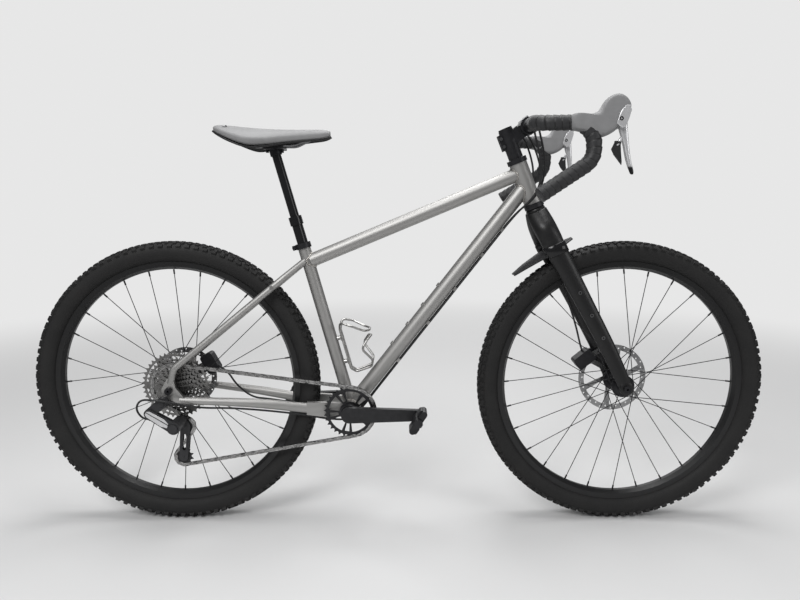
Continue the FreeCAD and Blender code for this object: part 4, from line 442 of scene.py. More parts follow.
axle_height = 0.368
front_axle_x, rear_axle_x = 0.573, -0.573
bead_edge = (0.317, 0.0140)
casing_widest = (0.3395, 0.0285)
casing_shoulder = (0.3565, 0.0243)
casing_crown = (0.3648, 0)
casing_lining = ((0.317, -0.0105), (0.3395, -0.0245), (0.3600, 0), (0.3395, 0.0245), (0.317, 0.0105))
tyre_segments = 200
knob_rows = ((0.0050, 0.3640, 132, 0.0110, 0.0070, 0.0039, 0.0),
             (0.0140, 0.3612, 120, 0.0100, 0.0085, 0.0048, 0.25),
             (0.0228, 0.3545, 100, 0.0125, 0.0095, 0.0072, 0.75))


def make_tyre(word, axle_x):
    side = arc_points(bead_edge, casing_widest, casing_shoulder, 10)
    crown = arc_points(casing_shoulder, casing_crown, (casing_shoulder[0], -casing_shoulder[1]), 15)
    outline = side + crown[1:-1] + [(r, -y) for r, y in reversed(side)]
    outline += casing_lining
    bm = bmesh.new()
    rings = []
    for number in range(tyre_segments):
        angle = 2 * math.pi * number / tyre_segments
        rings.append([bm.verts.new((axle_x + r * math.cos(angle), y, axle_height + r * math.sin(angle)))
                      for r, y in outline])
    for number in range(tyre_segments):
        bridge(bm, rings[number], rings[(number + 1) % tyre_segments])
    tyre = finished_mesh(word + "_tyre_dressed", bm, tyre_rubber)
    whole = bmesh.new()
    whole.from_mesh(tyre.data)
    for row, (offset, radius, count, length, width, height, lean) in enumerate(knob_rows):
        for sign in (-1, 1):
            mesh = grown(tread, "knobs", {
                "Count": count, "Radius": radius, "Length": length, "Width": width, "Height": height,
                "Lean": lean * sign, "Phase": math.pi / count * ((row + (sign > 0)) % 2),
                "Place": (axle_x, offset * sign, axle_height), "Rubber": tyre_rubber})
            whole.from_mesh(mesh)
            bpy.data.meshes.remove(mesh)
    casing_faces = len(tyre.data.polygons)
    whole.to_mesh(tyre.data)
    whole.free()
    for number, polygon in enumerate(tyre.data.polygons):
        polygon.use_smooth = number < casing_faces
    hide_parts(word + "_tyre")
    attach(tyre, word + "_wheel")


make_tyre("front", front_axle_x)
make_tyre("rear", rear_axle_x)

# Rims, spokes and hubs: matte black carbon hoops, black bladed steel spokes with black
# nipples, and black machined hubs.
rim_carbon = surface("rim_carbon", (0.006, 0.006, 0.0063), (0.011, 0.011, 0.0115), rough=(0.34, 0.48),
                     scale=260, depth=0.00005, coat=0.25)
spoke_black = surface("spoke_black", (0.018, 0.018, 0.019), (0.040, 0.040, 0.042), rough=(0.28, 0.42),
                      metallic=0.6, scale=900, depth=0.00003)
hub_black = surface("hub_black", (0.018, 0.018, 0.020), (0.040, 0.040, 0.043), rough=(0.26, 0.40),
                    metallic=0.7, scale=1200, depth=0.00003)
dress(rim_carbon, "front_rim", "rear_rim")
dress(spoke_black, "front_spokes", "rear_spokes")
dress(hub_black, "front_hub", "rear_hub", "front_thru_axle", "rear_thru_axle")


# Brake discs: stamped steel, bolted to the hubs on the left side. The faces are ground
# in fine rings round the axle.
def disc_steel(name, axle_x):
    material = surface(name, (0.42, 0.42, 0.43), (0.62, 0.62, 0.63), rough=(0.22, 0.38), metallic=1.0,
                       scale=600, depth=0.00003)
    tree = material.node_tree
    place = tree.nodes.new("ShaderNodeTexCoord")
    center = tree.nodes.new("ShaderNodeMapping")
    center.inputs["Location"].default_value = (-axle_x, 0, -axle_height)
    center.inputs["Scale"].default_value = (1, 0, 1)
    reach = tree.nodes.new("ShaderNodeVectorMath")
    reach.operation = "LENGTH"
    turns = tree.nodes.new("ShaderNodeTexNoise")
    turns.noise_dimensions = "1D"
    turns.inputs["Scale"].default_value = 1800
    turns.inputs["Detail"].default_value = 2
    tree.links.new(place.outputs["Object"], center.inputs["Vector"])
    tree.links.new(center.outputs["Vector"], reach.inputs[0])
    tree.links.new(reach.outputs["Value"], turns.inputs["W"])
    tint(material, turns.outputs["Fac"], (0.16, 0.16, 0.165), (0.46, 0.46, 0.46))
    return material


dress(disc_steel("front_disc_steel", front_axle_x), "front_rotor")
dress(disc_steel("rear_disc_steel", rear_axle_x), "rear_rotor")

# Drivetrain: bare steel chain and cogs with oil in the grain, a black ring and cranks,
# and a dark derailleur.
chain_steel = surface("chain_steel", (0.05, 0.049, 0.048), (0.20, 0.198, 0.195), rough=(0.22, 0.42),
                      metallic=1.0, scale=300, depth=0.00005)
cog_steel = surface("cog_steel", (0.10, 0.098, 0.096), (0.33, 0.325, 0.32), rough=(0.24, 0.40),
                    metallic=1.0, scale=420, depth=0.00004)
crank_black = surface("crank_black", (0.016, 0.016, 0.017), (0.034, 0.034, 0.036), rough=(0.32, 0.46),
                      metallic=0.3, scale=1400, depth=0.00003)
ring_black = surface("ring_black", (0.020, 0.020, 0.022), (0.050, 0.050, 0.052), rough=(0.30, 0.46),
                     metallic=0.7, scale=900, depth=0.00003)
derailleur_black = surface("derailleur_black", (0.022, 0.022, 0.024), (0.052, 0.052, 0.055),
                           rough=(0.30, 0.48), metallic=0.3, scale=700, depth=0.00004)
pulley_plastic = surface("pulley_plastic", (0.016, 0.016, 0.017), (0.032, 0.032, 0.033),
                         rough=(0.45, 0.6), scale=800, depth=0.00005)
chain_link = chain_steel.node_tree.nodes.new("ShaderNodeNewGeometry")
tint(chain_steel, chain_link.outputs["Random Per Island"], (0.03, 0.03, 0.03), (0.50, 0.495, 0.49))
dress(chain_steel, "chain")
dress(cog_steel, "cassette")
dress(crank_black, "crank_arm_right", "crank_arm_left")
dress(ring_black, "chainring", "bottom_bracket_cups", "right_pedal", "left_pedal")
dress(derailleur_black, "derailleur_body", "derailleur_cage")
dress(pulley_plastic, "guide_pulley", "tension_pulley")

# Chain: steel plates on pins, looped over the ring, a cog and the two pulleys. The links are cut
# into three runs: the run along the frame goes with the frame, and the runs over and below the pulleys stay
# fixed in place.
chain_mesh = nodes["chain"].data.copy()
chain_mesh.transform(nodes["chain"].matrix_world)
chain_root = list(range(len(chain_mesh.vertices)))
spots_per_metre = 1e5
lower_back, lower_front, lower_top = -0.556, -0.36, 0.195
pulleys_back, pulleys_front, pulleys_top = -0.60, -0.50, 0.325


def root_of(index):
    """The one vertex that stands for the whole link of a vertex."""
    while chain_root[index] != index:
        chain_root[index] = chain_root[chain_root[index]]
        index = chain_root[index]
    return index


same_spot = {}
for vertex in chain_mesh.vertices:
    spot = tuple(round(value * spots_per_metre) for value in vertex.co)
    chain_root[root_of(vertex.index)] = root_of(same_spot.setdefault(spot, vertex.index))
for edge in chain_mesh.edges:
    chain_root[root_of(edge.vertices[0])] = root_of(edge.vertices[1])
link_spots = {}
for vertex in chain_mesh.vertices:
    link_spots.setdefault(root_of(vertex.index), []).append(vertex.co)
link_run = {}
for root, spots in link_spots.items():
    x = sum(spot.x for spot in spots) / len(spots)
    z = sum(spot.z for spot in spots) / len(spots)
    if x > lower_back and z < lower_top:
        link_run[root] = "chain_lower_run" if x < lower_front else "chain_frame_run"
    elif pulleys_back < x < pulleys_front and z < pulleys_top:
        link_run[root] = "chain_pulley_run"
    else:
        link_run[root] = "chain_frame_run"
polygon_run = [link_run[root_of(polygon.vertices[0])] for polygon in chain_mesh.polygons]
for name in ("chain_frame_run", "chain_pulley_run", "chain_lower_run"):
    links = bmesh.new()
    links.from_mesh(chain_mesh)
    links.faces.ensure_lookup_table()
    others = [links.faces[number] for number, run in enumerate(polygon_run) if run != name]
    bmesh.ops.delete(links, geom=others, context="FACES")
    run_mesh = chain_mesh.copy()
    links.to_mesh(run_mesh)
    links.free()
    piece = bpy.data.objects.new(name, run_mesh)
    scene.collection.objects.link(piece)
    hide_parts("chain")
    if name == "chain_frame_run":
        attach(piece, "frame")
    elif name == "chain_pulley_run":
        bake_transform(piece)
    else:
        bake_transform(piece)

# Small black alloy fittings: headset, spacers, stem, seat collar, seatpost, clamp and
# calipers, all anodised with a fine blasted grain.
anodised = surface("black_anodised", (0.016, 0.016, 0.018), (0.036, 0.036, 0.039), rough=(0.34, 0.48),
                   metallic=0.5, scale=1800, depth=0.00004)
post_black = surface("post_black", (0.008, 0.008, 0.0085), (0.014, 0.014, 0.015), rough=(0.12, 0.20),
                     scale=1500, depth=0.00001, turn=105.5, stretch=10)
bolt_steel = surface("bolt_steel", (0.10, 0.10, 0.105), (0.26, 0.26, 0.265), rough=(0.28, 0.42),
                     metallic=1.0, scale=900, depth=0.00003)
rail_steel = surface("rail_steel", (0.12, 0.12, 0.125), (0.24, 0.24, 0.245), rough=(0.24, 0.36),
                     metallic=1.0, scale=700, depth=0.00003)
fender_plastic = surface("fender_plastic", (0.016, 0.016, 0.017), (0.030, 0.030, 0.031),
                         rough=(0.42, 0.58), scale=500, depth=0.00008)
dress(anodised, "headset_cups", "headset_spacers", "stem", "stem_faceplate", "seat_collar",
      "saddle_clamp", "front_brake_caliper", "rear_brake_caliper", "handlebar")
dress(post_black, "dropper_outer_tube", "dropper_stanchion")
dress(bolt_steel, "front_fasteners")
dress(rail_steel, "saddle_rails")
dress(fender_plastic, "fork_fender", "saddle_shell", "right_shift_paddle", "left_shift_paddle")

# Fork: matte black carbon legs that run into one crown, ovals that narrow to the feet,
# with an alloy race on top and the steerer up through the headset.
fork_foot = Vector((0.5351, 0, 0.3523))
fork_forward = Vector((0.92388, 0, 0.38268))
fork_up = Vector((-0.38268, 0, 0.92388))
leg_shape = (
    (0.497, -0.0005, 0.009, 0.0255, 0.0170), (0.477, -0.0005, 0.019, 0.0275, 0.0220),
    (0.455, 0.0000, 0.029, 0.0285, 0.0255), (0.425, 0.0015, 0.040, 0.0280, 0.0185),
    (0.394, 0.0036, 0.0465, 0.0265, 0.0140), (0.253, 0.0203, 0.0515, 0.0220, 0.0115),
    (0.110, 0.0354, 0.0570, 0.0195, 0.0100), (0.030, 0.0402, 0.0615, 0.0175, 0.0075),
    (0.010, 0.0406, 0.0620, 0.0168, 0.0068))


def eased(stations, share):
    """A smooth value between stations, by the slopes of their neighbours."""
    span = share * (len(stations) - 1)
    k = min(int(span), len(stations) - 2)
    t = span - k
    a, b = stations[k], stations[k + 1]
    before = stations[max(0, k - 1)]
    after = stations[min(len(stations) - 1, k + 2)]
    values = []
    for p0, p1, p2, p3 in zip(before, a, b, after):
        m1, m2 = (p2 - p0) / 2, (p3 - p1) / 2
        values.append((2 * t ** 3 - 3 * t ** 2 + 1) * p1 + (t ** 3 - 2 * t ** 2 + t) * m1
                      + (3 * t ** 2 - 2 * t ** 3) * p2 + (t ** 3 - t ** 2) * m2)
    return values


def on_fork(forward, side, height):
    """A place from distances ahead of the steering axis, to the left and up along it."""
    return fork_foot + fork_forward * forward + fork_up * height + Vector((0, side, 0))


def loft(bm, rings):
    """A closed skin over rings of points, with a flat cap at each end."""
    made = [[bm.verts.new(point) for point in ring] for ring in rings]
    for here, there in zip(made, made[1:]):
        bridge(bm, here, there)
    bm.faces.new(made[0])
    bm.faces.new(list(reversed(made[-1])))
    return made


def lathe(bm, foot, along, across, profile, segments):
    """A turned solid from distance and radius pairs along an axis."""
    third = along.cross(across)
    rings = []
    for distance, radius in profile:
        ring = []
        for k in range(segments):
            angle = 2 * math.pi * k / segments
            outward = across * math.cos(angle) + third * math.sin(angle)
            ring.append(foot + along * distance + outward * radius)
        rings.append(ring)
    loft(bm, rings)


leg_sides = 36
leg_steps = 56
turned_sides = 48
foot_profile = ((0, 0.0062), (0, 0.0163), (0.0012, 0.0175), (0.0128, 0.0175), (0.014, 0.0163),
                (0.014, 0.0062))
race_profile = ((0, 0.020), (0.006, 0.0245), (0.010, 0.0245), (0.0148, 0.0225), (0.0148, 0.0143),
                (0.2160, 0.0143))


def leg_ring(sign, height, forward, side, half_long, half_wide):
    """One oval section of a leg."""
    ring = []
    for k in range(leg_sides):
        angle = 2 * math.pi * k / leg_sides
        ahead, aside = forward + half_long * math.cos(angle), side + half_wide * math.sin(angle)
        ring.append(on_fork(ahead, sign * aside, height))
    return ring


fork_mesh = bmesh.new()
for sign in (-1, 1):
    shares = [step / leg_steps for step in range(leg_steps + 1)]
    loft(fork_mesh, [leg_ring(sign, *eased(leg_shape, down)) for down in shares])
    lathe(fork_mesh, on_fork(0.041, sign * 0.055, 0), Vector((0, sign, 0)), Vector((1, 0, 0)),
          foot_profile, turned_sides)
lathe(fork_mesh, on_fork(0, 0, 0.490), fork_up, fork_forward, race_profile, turned_sides)
fork_carbon = surface("fork_carbon", (0.006, 0.006, 0.0063), (0.011, 0.011, 0.0115), rough=(0.38, 0.52),
                      scale=220, depth=0.00006, coat=0.15)
fork_piece = finished_mesh("fork_dressed", fork_mesh, fork_carbon)
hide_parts("fork")
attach(fork_piece, "fork")

# Fender straps: a thin glossy band drawn tight round each fork leg, which holds the
# plastic fender between the legs.
strap_edges = ((0.3800, 0.0004), (0.3815, 0.0022), (0.4065, 0.0022), (0.4080, 0.0004))
strap_upper, strap_lower = leg_shape[3], leg_shape[4]
strap_mesh = bmesh.new()
for sign in (-1, 1):
    rings = []
    for height, lift in strap_edges:
        share = (strap_upper[0] - height) / (strap_upper[0] - strap_lower[0])
        forward, side, half_long, half_wide = (
            high + (low - high) * share for high, low in zip(strap_upper[1:], strap_lower[1:]))
        rings.append(leg_ring(sign, height, forward, side, half_long + lift, half_wide + lift))
    loft(strap_mesh, rings)
straps = finished_mesh("fender_straps", strap_mesh, post_black)
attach(straps, "fork")


# Bar tape: one strip of cushioned tape wound up each drop from the plugged end, each turn
# lapping half over the one before, and closed beside the stem with a smooth band.
def rounded_path(points, radii, spacing):
    """Points along straight runs with a round bend at each corner."""
    points = [Vector(p) for p in points]
    path = [points[0]]

    def straight_to(end):
        start = path[-1]
        count = max(1, round((end - start).length / spacing))
        path.extend(start + (end - start) * (k / count) for k in range(1, count + 1))

    for before, corner, after, radius in zip(points, points[1:], points[2:], radii):
        back = (before - corner).normalized()
        ahead = (after - corner).normalized()
        half = back.angle(ahead) / 2
        reach = radius / math.tan(half)
        straight_to(corner + back * reach)
        inward = (back + ahead).normalized()
        center = corner + inward * (radius / math.sin(half))
        spoke = corner + back * reach - center
        turn = math.pi - 2 * half
        axis = back.cross(ahead).normalized() * -1
        count = max(2, round(radius * turn / spacing))
        for k in range(1, count + 1):
            path.append(center + Matrix.Rotation(turn * k / count, 3, axis) @ spoke)
    straight_to(points[-1])
    return path


def swept(path, around, radius_at):
    """A tube along a path whose radius follows distance and angle."""
    along = (path[1] - path[0]).normalized()
    up = Vector((0, 0, 1))
    up = (up - along * up.dot(along)).normalized()
    rings = []
    gone = 0.0
    for number, point in enumerate(path):
        if number:
            gone += (point - path[number - 1]).length
        ahead = path[min(number + 1, len(path) - 1)] - path[max(number - 1, 0)]
        along = ahead.normalized()
        up = (up - along * up.dot(along)).normalized()
        side = along.cross(up)
        ring = []
        for k in range(around):
            angle = 2 * math.pi * k / around
            ring.append(point + (up * math.cos(angle) + side * math.sin(angle)) * radius_at(gone, angle))
        rings.append(ring)
    return rings


tape_route = ((0.3147, 0.0897, 1.0151), (0.2971, 0.2050, 1.0002), (0.4161, 0.2220, 0.9992),
              (0.4151, 0.2330, 0.9202), (0.2991, 0.2550, 0.8462))
tape_bends = (0.036, 0.046, 0.044)
tape_pitch = 0.0150
tape_lap = 0.0019
tape_radius = 0.0153
tape_step = 0.0016
tape_sides = 44
lap_edge, seam_shade_width = 0.08, 0.12
band_profile = ((0, 0.0128), (0, 0.0160), (0.001, 0.0174), (0.019, 0.0174), (0.020, 0.0160),
                (0.020, 0.0128))
plug_profile = ((0, 0.0120), (0, 0.0166), (0.0022, 0.0168), (0.0034, 0.0150), (0.0030, 0.0105),
                (0.0038, 0.0090), (0.0042, 0.0040), (0.0042, 0.0005))
tape_black = surface("tape_black", (0.024, 0.024, 0.025), (0.040, 0.040, 0.042), rough=(0.40, 0.58),
                     scale=1300, depth=0.0002)
tape_tree = tape_black.node_tree
# The tape turns near-black along each lap edge: painted shade in the step where one turn laps over the
# next.
tape_seam_shade = tape_tree.nodes.new("ShaderNodeAttribute")
tape_seam_shade.attribute_name = "seam_shade"
tape_old = tape_tree.nodes["Principled BSDF"].inputs["Base Color"].links[0].from_socket
tint(tape_black, tape_seam_shade.outputs["Fac"], tape_old, (0.003, 0.003, 0.003))
plug_black = surface("plug_black", (0.020, 0.020, 0.021), (0.034, 0.034, 0.036), rough=(0.3, 0.42),
                     scale=600, depth=0.00004)


def make_tape(word, sign):
    path = rounded_path([(x, y * sign, z) for x, y, z in tape_route], tape_bends, tape_step)
    seam_shade_values = []

    def wound(gone, angle):
        lap = (gone / tape_pitch + sign * angle / (2 * math.pi)) % 1.0
        rise = min(1.0, lap / lap_edge)
        fall = 0.8 * max(0.0, lap - lap_edge) / (1 - lap_edge)
        # Painted shade mask: 1 at each lap edge, falling to 0 a short way to either side.
        seam_shade_values.append(max(0.0, 1 - abs((lap + 0.5) % 1.0 - 0.5) / seam_shade_width))
        return tape_radius + tape_lap * rise * (1 - fall)

    bm = bmesh.new()
    loft(bm, swept(path, tape_sides, wound))
    tape = finished_mesh(word + "_bar_tape_dressed", bm, tape_black)
    seam_shade = tape.data.attributes.new("seam_shade", "FLOAT", "POINT")
    seam_shade.data.foreach_set("value", seam_shade_values)
    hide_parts("bar_tape")
    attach(tape, "fork")
    bm = bmesh.new()
    start = (path[1] - path[0]).normalized()
    lathe(bm, path[0] - start * 0.0005, start, start.orthogonal().normalized(), band_profile, tape_sides)
    end = (path[-1] - path[-2]).normalized()
    lathe(bm, path[-1] - end * 0.001, end, end.orthogonal().normalized(), plug_profile, tape_sides)
    trim = finished_mesh(word + "_bar_plug_and_band", bm, plug_black)
    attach(trim, "fork")


make_tape("left", 1)
make_tape("right", -1)

# Lever hoods: moulded rubber grips with a tall horn over the lever bodies, with a pale
# alloy cheek plate and a dark pivot on both sides of the lever.
mm = 0.001
bar_middle = Vector((0.3171, 0, 1.0172))
hood_middle = Vector((112, 0, -8))
hood_line = 0.222
hood_outline = ((46, 1), (66, 1), (88, -2), (107, 2), (114, 16), (122, 30), (135, 39), (150, 41),
                (164, 34), (174, 19), (172, 6), (163, -8), (154, -21), (142, -36), (124, -46), (108, -50),
                (94, -46), (78, -38), (60, -35), (48, -33))
hood_sections = ((-0.0175, 10.0), (-0.0160, 4.5), (-0.0110, 0.5), (-0.0040, -1.2), (0.0040, -1.2),
                 (0.0110, 0.5), (0.0160, 4.5), (0.0175, 10.0))
hood_rubber = surface("hood_rubber", (0.20, 0.20, 0.203), (0.26, 0.26, 0.264), rough=(0.55, 0.75),
                      scale=900, depth=0.0002)
lever_alloy = surface("lever_alloy", (0.56, 0.56, 0.57), (0.72, 0.72, 0.73), rough=(0.26, 0.38),
                      metallic=0.5, scale=900, depth=0.00004)
pivot_black = surface("pivot_black", (0.014, 0.014, 0.015), (0.030, 0.030, 0.031), rough=(0.3, 0.45),
                      metallic=0.3, scale=900, depth=0.00004)
lever_pivot = Vector((0.4671, 0.222, 1.0052))
cheek_outline = ((-9, -10), (2, -19), (10, -16), (16, 0), (21, 18), (17, 28), (8, 27), (-2, 14))
cheek_inside, cheek_outside, cheek_edge = 0.0165, 0.0190, 0.0012
pin_foot, pin_sides = 0.0178, 28
pin_profile = ((0, 0.0044), (0.0016, 0.0044), (0.0021, 0.0038), (0.0021, 0.0022), (0.0010, 0.0020),
               (0.0010, 0.0004))


def prism(bm, outline, low, high, inset):
    """A flat plate with softened edges, from points in the XZ plane."""
    middle = sum((Vector(p) for p in outline), Vector((0, 0, 0))) / len(outline)
    rings = []
    edge = (high - low) * 0.3
    for y, shrink in ((low, inset), (low + edge, 0), (high - edge, 0), (high, inset)):
        ring = []
        for p in outline:
            p = Vector(p)
            p = p + (middle - p).normalized() * shrink
            ring.append(Vector((p.x, y, p.z)))
        rings.append(ring)
    loft(bm, rings)


def add_rounding(piece, levels):
    """Subdivide a coarse mesh into a smooth one."""
    rounding = piece.modifiers.new("rounding", "SUBSURF")
    rounding.levels = levels
    rounding.render_levels = levels
    graph = bpy.context.evaluated_depsgraph_get()
    mesh = bpy.data.meshes.new_from_object(piece.evaluated_get(graph))
    piece.modifiers.clear()
    piece.data = mesh
    for polygon in mesh.polygons:
        polygon.use_smooth = True


def make_hood(word, sign):
    bm = bmesh.new()
    rings = []
    for offset, shrink in hood_sections:
        ring = []
        for x, z in hood_outline:
            spot = Vector((x, 0, z))
            spot = spot + (hood_middle - spot).normalized() * shrink
            ring.append(bar_middle + spot * mm + Vector((0, sign * (hood_line + offset), 0)))
        rings.append(ring)
    loft(bm, rings)
    hood = finished_mesh(word + "_hood_dressed", bm, hood_rubber)
    add_rounding(hood, 2)
    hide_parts("lever_hoods")
    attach(hood, "fork")
    bm = bmesh.new()
    for face in (-1, 1):
        outline = [lever_pivot + Vector((x * mm, 0, z * mm)) for x, z in cheek_outline]
        low, high = sorted(sign * hood_line + face * reach for reach in (cheek_inside, cheek_outside))
        prism(bm, outline, low, high, cheek_edge)
    cheeks = finished_mesh(word + "_lever_cheeks", bm, lever_alloy, smooth=False)
    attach(cheeks, "fork")
    bm = bmesh.new()
    for face in (-1, 1):
        foot = Vector((lever_pivot.x, sign * hood_line + face * pin_foot, lever_pivot.z))
        lathe(bm, foot, Vector((0, face, 0)), Vector((1, 0, 0)), pin_profile, pin_sides)
    pin = finished_mesh(word + "_lever_pin", bm, pivot_black)
    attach(pin, "fork")


make_hood("left", 1)
make_hood("right", -1)

# Brake levers: forged alloy blades, rounded and bowed, flaring outward to a black tip.
# Each swings on the pin in its hood and carries a post for the shift paddle.
blade_stations = ((9, 31, 5, 3.5), (7, 15, 12, 4.5), (7, -4, 12, 5.5), (11, -24, 10, 6.0),
                  (15.5, -44, 7.5, 6.5), (18, -62, 6.2, 6.8), (21, -82, 5.8, 7.0), (25, -98, 5.2, 6.8),
                  (28.5, -109, 4.6, 6.0), (29, -116, 3.0, 4.0))
post_stations = ((13, 0, -26, 3.0), (9, 1, -34, 4.6), (3, 3, -44, 5.0), (0, 3.5, -52, 4.6),
                 (-0.5, 3.5, -55, 2.5))
blade_sides = 12
blade_squareness, blade_lean = 0.7, 0.12
post_flatness, post_lean = 0.7, 0.4
tip_flare, tip_reach = 14, 117
blade_silver = surface("blade_silver", (0.52, 0.52, 0.53), (0.70, 0.70, 0.71), rough=(0.24, 0.36),
                       metallic=0.5, scale=700, depth=0.00004)
tip_tree = blade_silver.node_tree
tip_place = tip_tree.nodes.new("ShaderNodeTexCoord")
tip_split = tip_tree.nodes.new("ShaderNodeSeparateXYZ")
tip_range = tip_tree.nodes.new("ShaderNodeMapRange")
tip_range.inputs["From Min"].default_value = 0.9040
tip_range.inputs["From Max"].default_value = 0.9080
tip_old = tip_tree.nodes["Principled BSDF"].inputs["Base Color"].links[0].from_socket
tip_tree.links.new(tip_place.outputs["Object"], tip_split.inputs[0])
tip_tree.links.new(tip_split.outputs["Z"], tip_range.inputs["Value"])
tint(blade_silver, tip_range.outputs["Result"], (0.020, 0.020, 0.021), tip_old)


def make_blade(word, sign):
    bm = bmesh.new()
    rings = []
    for x, z, half_long, half_wide in blade_stations:
        flare = tip_flare * (min(0.0, z) / tip_reach) ** 2
        ring = []
        for k in range(blade_sides):
            angle = 2 * math.pi * k / blade_sides
            lengthwise = math.copysign(abs(math.cos(angle)) ** blade_squareness, math.cos(angle))
            sidewise = math.copysign(abs(math.sin(angle)) ** blade_squareness, math.sin(angle))
            ring.append(Vector((lever_pivot.x + (x + half_long * lengthwise) * mm,
                                sign * (hood_line + (flare + half_wide * sidewise) * mm),
                                lever_pivot.z + (z - half_long * lengthwise * blade_lean) * mm)))
        rings.append(ring)
    loft(bm, rings)
    post = []
    for x, y, z, radius in post_stations:
        ring = []
        for k in range(blade_sides):
            angle = 2 * math.pi * k / blade_sides
            ring.append(Vector((lever_pivot.x + (x + radius * math.cos(angle)) * mm,
                                sign * (hood_line + (y + radius * post_flatness * math.sin(angle)) * mm),
                                lever_pivot.z + (z + radius * post_lean * math.cos(angle)) * mm)))
        post.append(ring)
    loft(bm, post)
    blade = finished_mesh(word + "_blade_dressed", bm, blade_silver)
    add_rounding(blade, 2)
    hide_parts(word + "_brake_lever")
    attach(blade, word + "_brake_lever")


make_blade("left", 1)
make_blade("right", -1)

# Saddle: foam on a shell under a taut synthetic cover, crowned along its length, with
# flanks that draw in and a shallow relief channel down the middle.
saddle_tail, saddle_length, saddle_top, saddle_half = -0.4535, 0.286, 1.0142, 0.071
saddle_stations = (
    (0.006, 0.42, 5.0, -2.0, -11.0), (0.075, 0.83, 6.0, -10.0, -23.0), (0.18, 0.99, 3.5, -21.0, -38.0),
    (0.32, 1.0, 0.0, -33.0, -51.0), (0.46, 0.76, -2.5, -32.0, -48.0), (0.6, 0.52, -3.5, -26.0, -41.0),
    (0.78, 0.37, -3.5, -21.0, -34.0), (0.93, 0.3, -3.5, -17.0, -29.0), (0.995, 0.17, -7.0, -15.0, -23.0))
pad_thickness = 15.0
channel_depth, channel_half = 2.2, 7.0
flank_draw = 0.88
saddle_steps = 40
cover_skin = surface("cover_skin", (0.22, 0.22, 0.222), (0.28, 0.28, 0.283), rough=(0.42, 0.60),
                     scale=1500, depth=0.00025)
cover_tree = cover_skin.node_tree
cover_shader = cover_tree.nodes["Principled BSDF"]
pores = cover_tree.nodes.new("ShaderNodeTexVoronoi")
pores.inputs["Scale"].default_value = 700
pore_bump = cover_tree.nodes.new("ShaderNodeBump")
pore_bump.inputs["Distance"].default_value = 0.0001
pore_bump.inputs["Strength"].default_value = 0.2
cover_place = cover_tree.nodes.new("ShaderNodeTexCoord")
cover_tree.links.new(cover_place.outputs["Object"], pores.inputs["Vector"])
cover_tree.links.new(pores.outputs["Distance"], pore_bump.inputs["Height"])
cover_tree.links.new(pore_bump.outputs["Normal"], cover_shader.inputs["Normal"])
saddle_mesh = bmesh.new()
saddle_rings = []
for number in range(saddle_steps + 1):
    share, width, crown, edge, base = eased(saddle_stations, number / saddle_steps)
    x = saddle_tail + share * saddle_length
    half = saddle_half * width / mm
    draw = half * flank_draw
    top = arc_points((-half, edge), (0, crown), (half, edge), 21)
    depth = channel_depth * min(1.0, 4 * share * (1.15 - share))
    channel = [(y, z - depth * math.exp(-(y / channel_half) ** 2)) for y, z in top]
    under = arc_points((draw, base), (0, crown - pad_thickness), (-draw, base), 13)
    saddle_rings.append([Vector((x, y * mm, saddle_top + z * mm)) for y, z in channel + under])
loft(saddle_mesh, saddle_rings)
saddle = finished_mesh("saddle_cover_dressed", saddle_mesh, cover_skin)
add_rounding(saddle, 1)
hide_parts("saddle_cover")
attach(saddle, "saddle")

# Saddle trim: a black moulded rim along the lower edge of the cover, and a steel rivet on
# each side of the tail that pins the cover to the shell.
rim_draw = 0.90
rim_points = []
for sign in (1, -1):
    for number in range(saddle_steps + 1):
        gone = number if sign > 0 else saddle_steps - number
        share, width, crown, edge, base = eased(saddle_stations, gone / saddle_steps)
        x, y = saddle_tail + share * saddle_length, saddle_half * width * rim_draw
        rim_points.append(Vector((x, sign * y, saddle_top + base * mm)))
rim_mesh = bmesh.new()
add_bead(rim_mesh, rim_points, 0.0022, 0)
saddle_rim = finished_mesh("saddle_rim", rim_mesh, pivot_black)
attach(saddle_rim, "saddle")
rivet_profile = ((0, 0.0052), (0.0030, 0.0052), (0.0038, 0.0046), (0.0038, 0.0030), (0.0030, 0.0026),
                 (0.0030, 0.0004))
rivet_x, rivet_y, rivet_z, rivet_sink = -0.4190, 0.040, 1.0137, 0.0030
rivet_sides = 28
rivet_mesh = bmesh.new()
for sign in (1, -1):
    lean = Vector((-0.1, sign * 0.42, 0.9)).normalized()
    foot = Vector((rivet_x, sign * rivet_y, rivet_z)) - lean * rivet_sink
    lathe(rivet_mesh, foot, lean, lean.orthogonal().normalized(), rivet_profile, rivet_sides)
rivets = finished_mesh("saddle_rivets", rivet_mesh, bolt_steel)
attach(rivets, "saddle")

# Derailleur link: a pale polished plate with a dark groove, riveted on the outer link
# between the hanger knuckle and the cage knuckle.
link_back = Vector((-0.617, 0, 0.316))
link_front = Vector((-0.5580, 0, 0.2790))
link_face, link_thickness = -0.1078, 0.0022
link_outline = ((-7, -5), (0, -8.5), (42, -10.5), (57, -6), (54, 5), (40, 9.5), (0, 8), (-7, 4))
groove_outline = ((-6, 0.6), (55, 0.8), (54.5, 3.0), (-6, 2.4))
link_along = (link_front - link_back).normalized()
link_up = Vector((-link_along.z, 0, link_along.x))


def on_link(outline):
    return [link_back + link_along * (along * mm) + link_up * (up * mm) for along, up in outline]


link_mesh = bmesh.new()
prism(link_mesh, on_link(link_outline), link_face - link_thickness, link_face, 0.0008)
link_plate = finished_mesh("derailleur_link_plate", link_mesh, lever_alloy, smooth=False)
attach(link_plate, "frame")
groove_mesh = bmesh.new()
prism(groove_mesh, on_link(groove_outline), link_face - link_thickness - 0.0002, link_face - 0.0010,
      0.0002)
link_groove = finished_mesh("derailleur_link_groove", groove_mesh, pivot_black, smooth=False)
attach(link_groove, "frame")

# Hoses and housings: thin black jackets that leave the tape beside the stem, bow past the
# head tube, run under the down tube in guides and end at the brakes and the derailleur.
hose_jacket = surface("hose_jacket", (0.014, 0.014, 0.015), (0.028, 0.028, 0.029), rough=(0.38, 0.52),
                      scale=600, depth=0.00004)
hose_radius = 0.0025


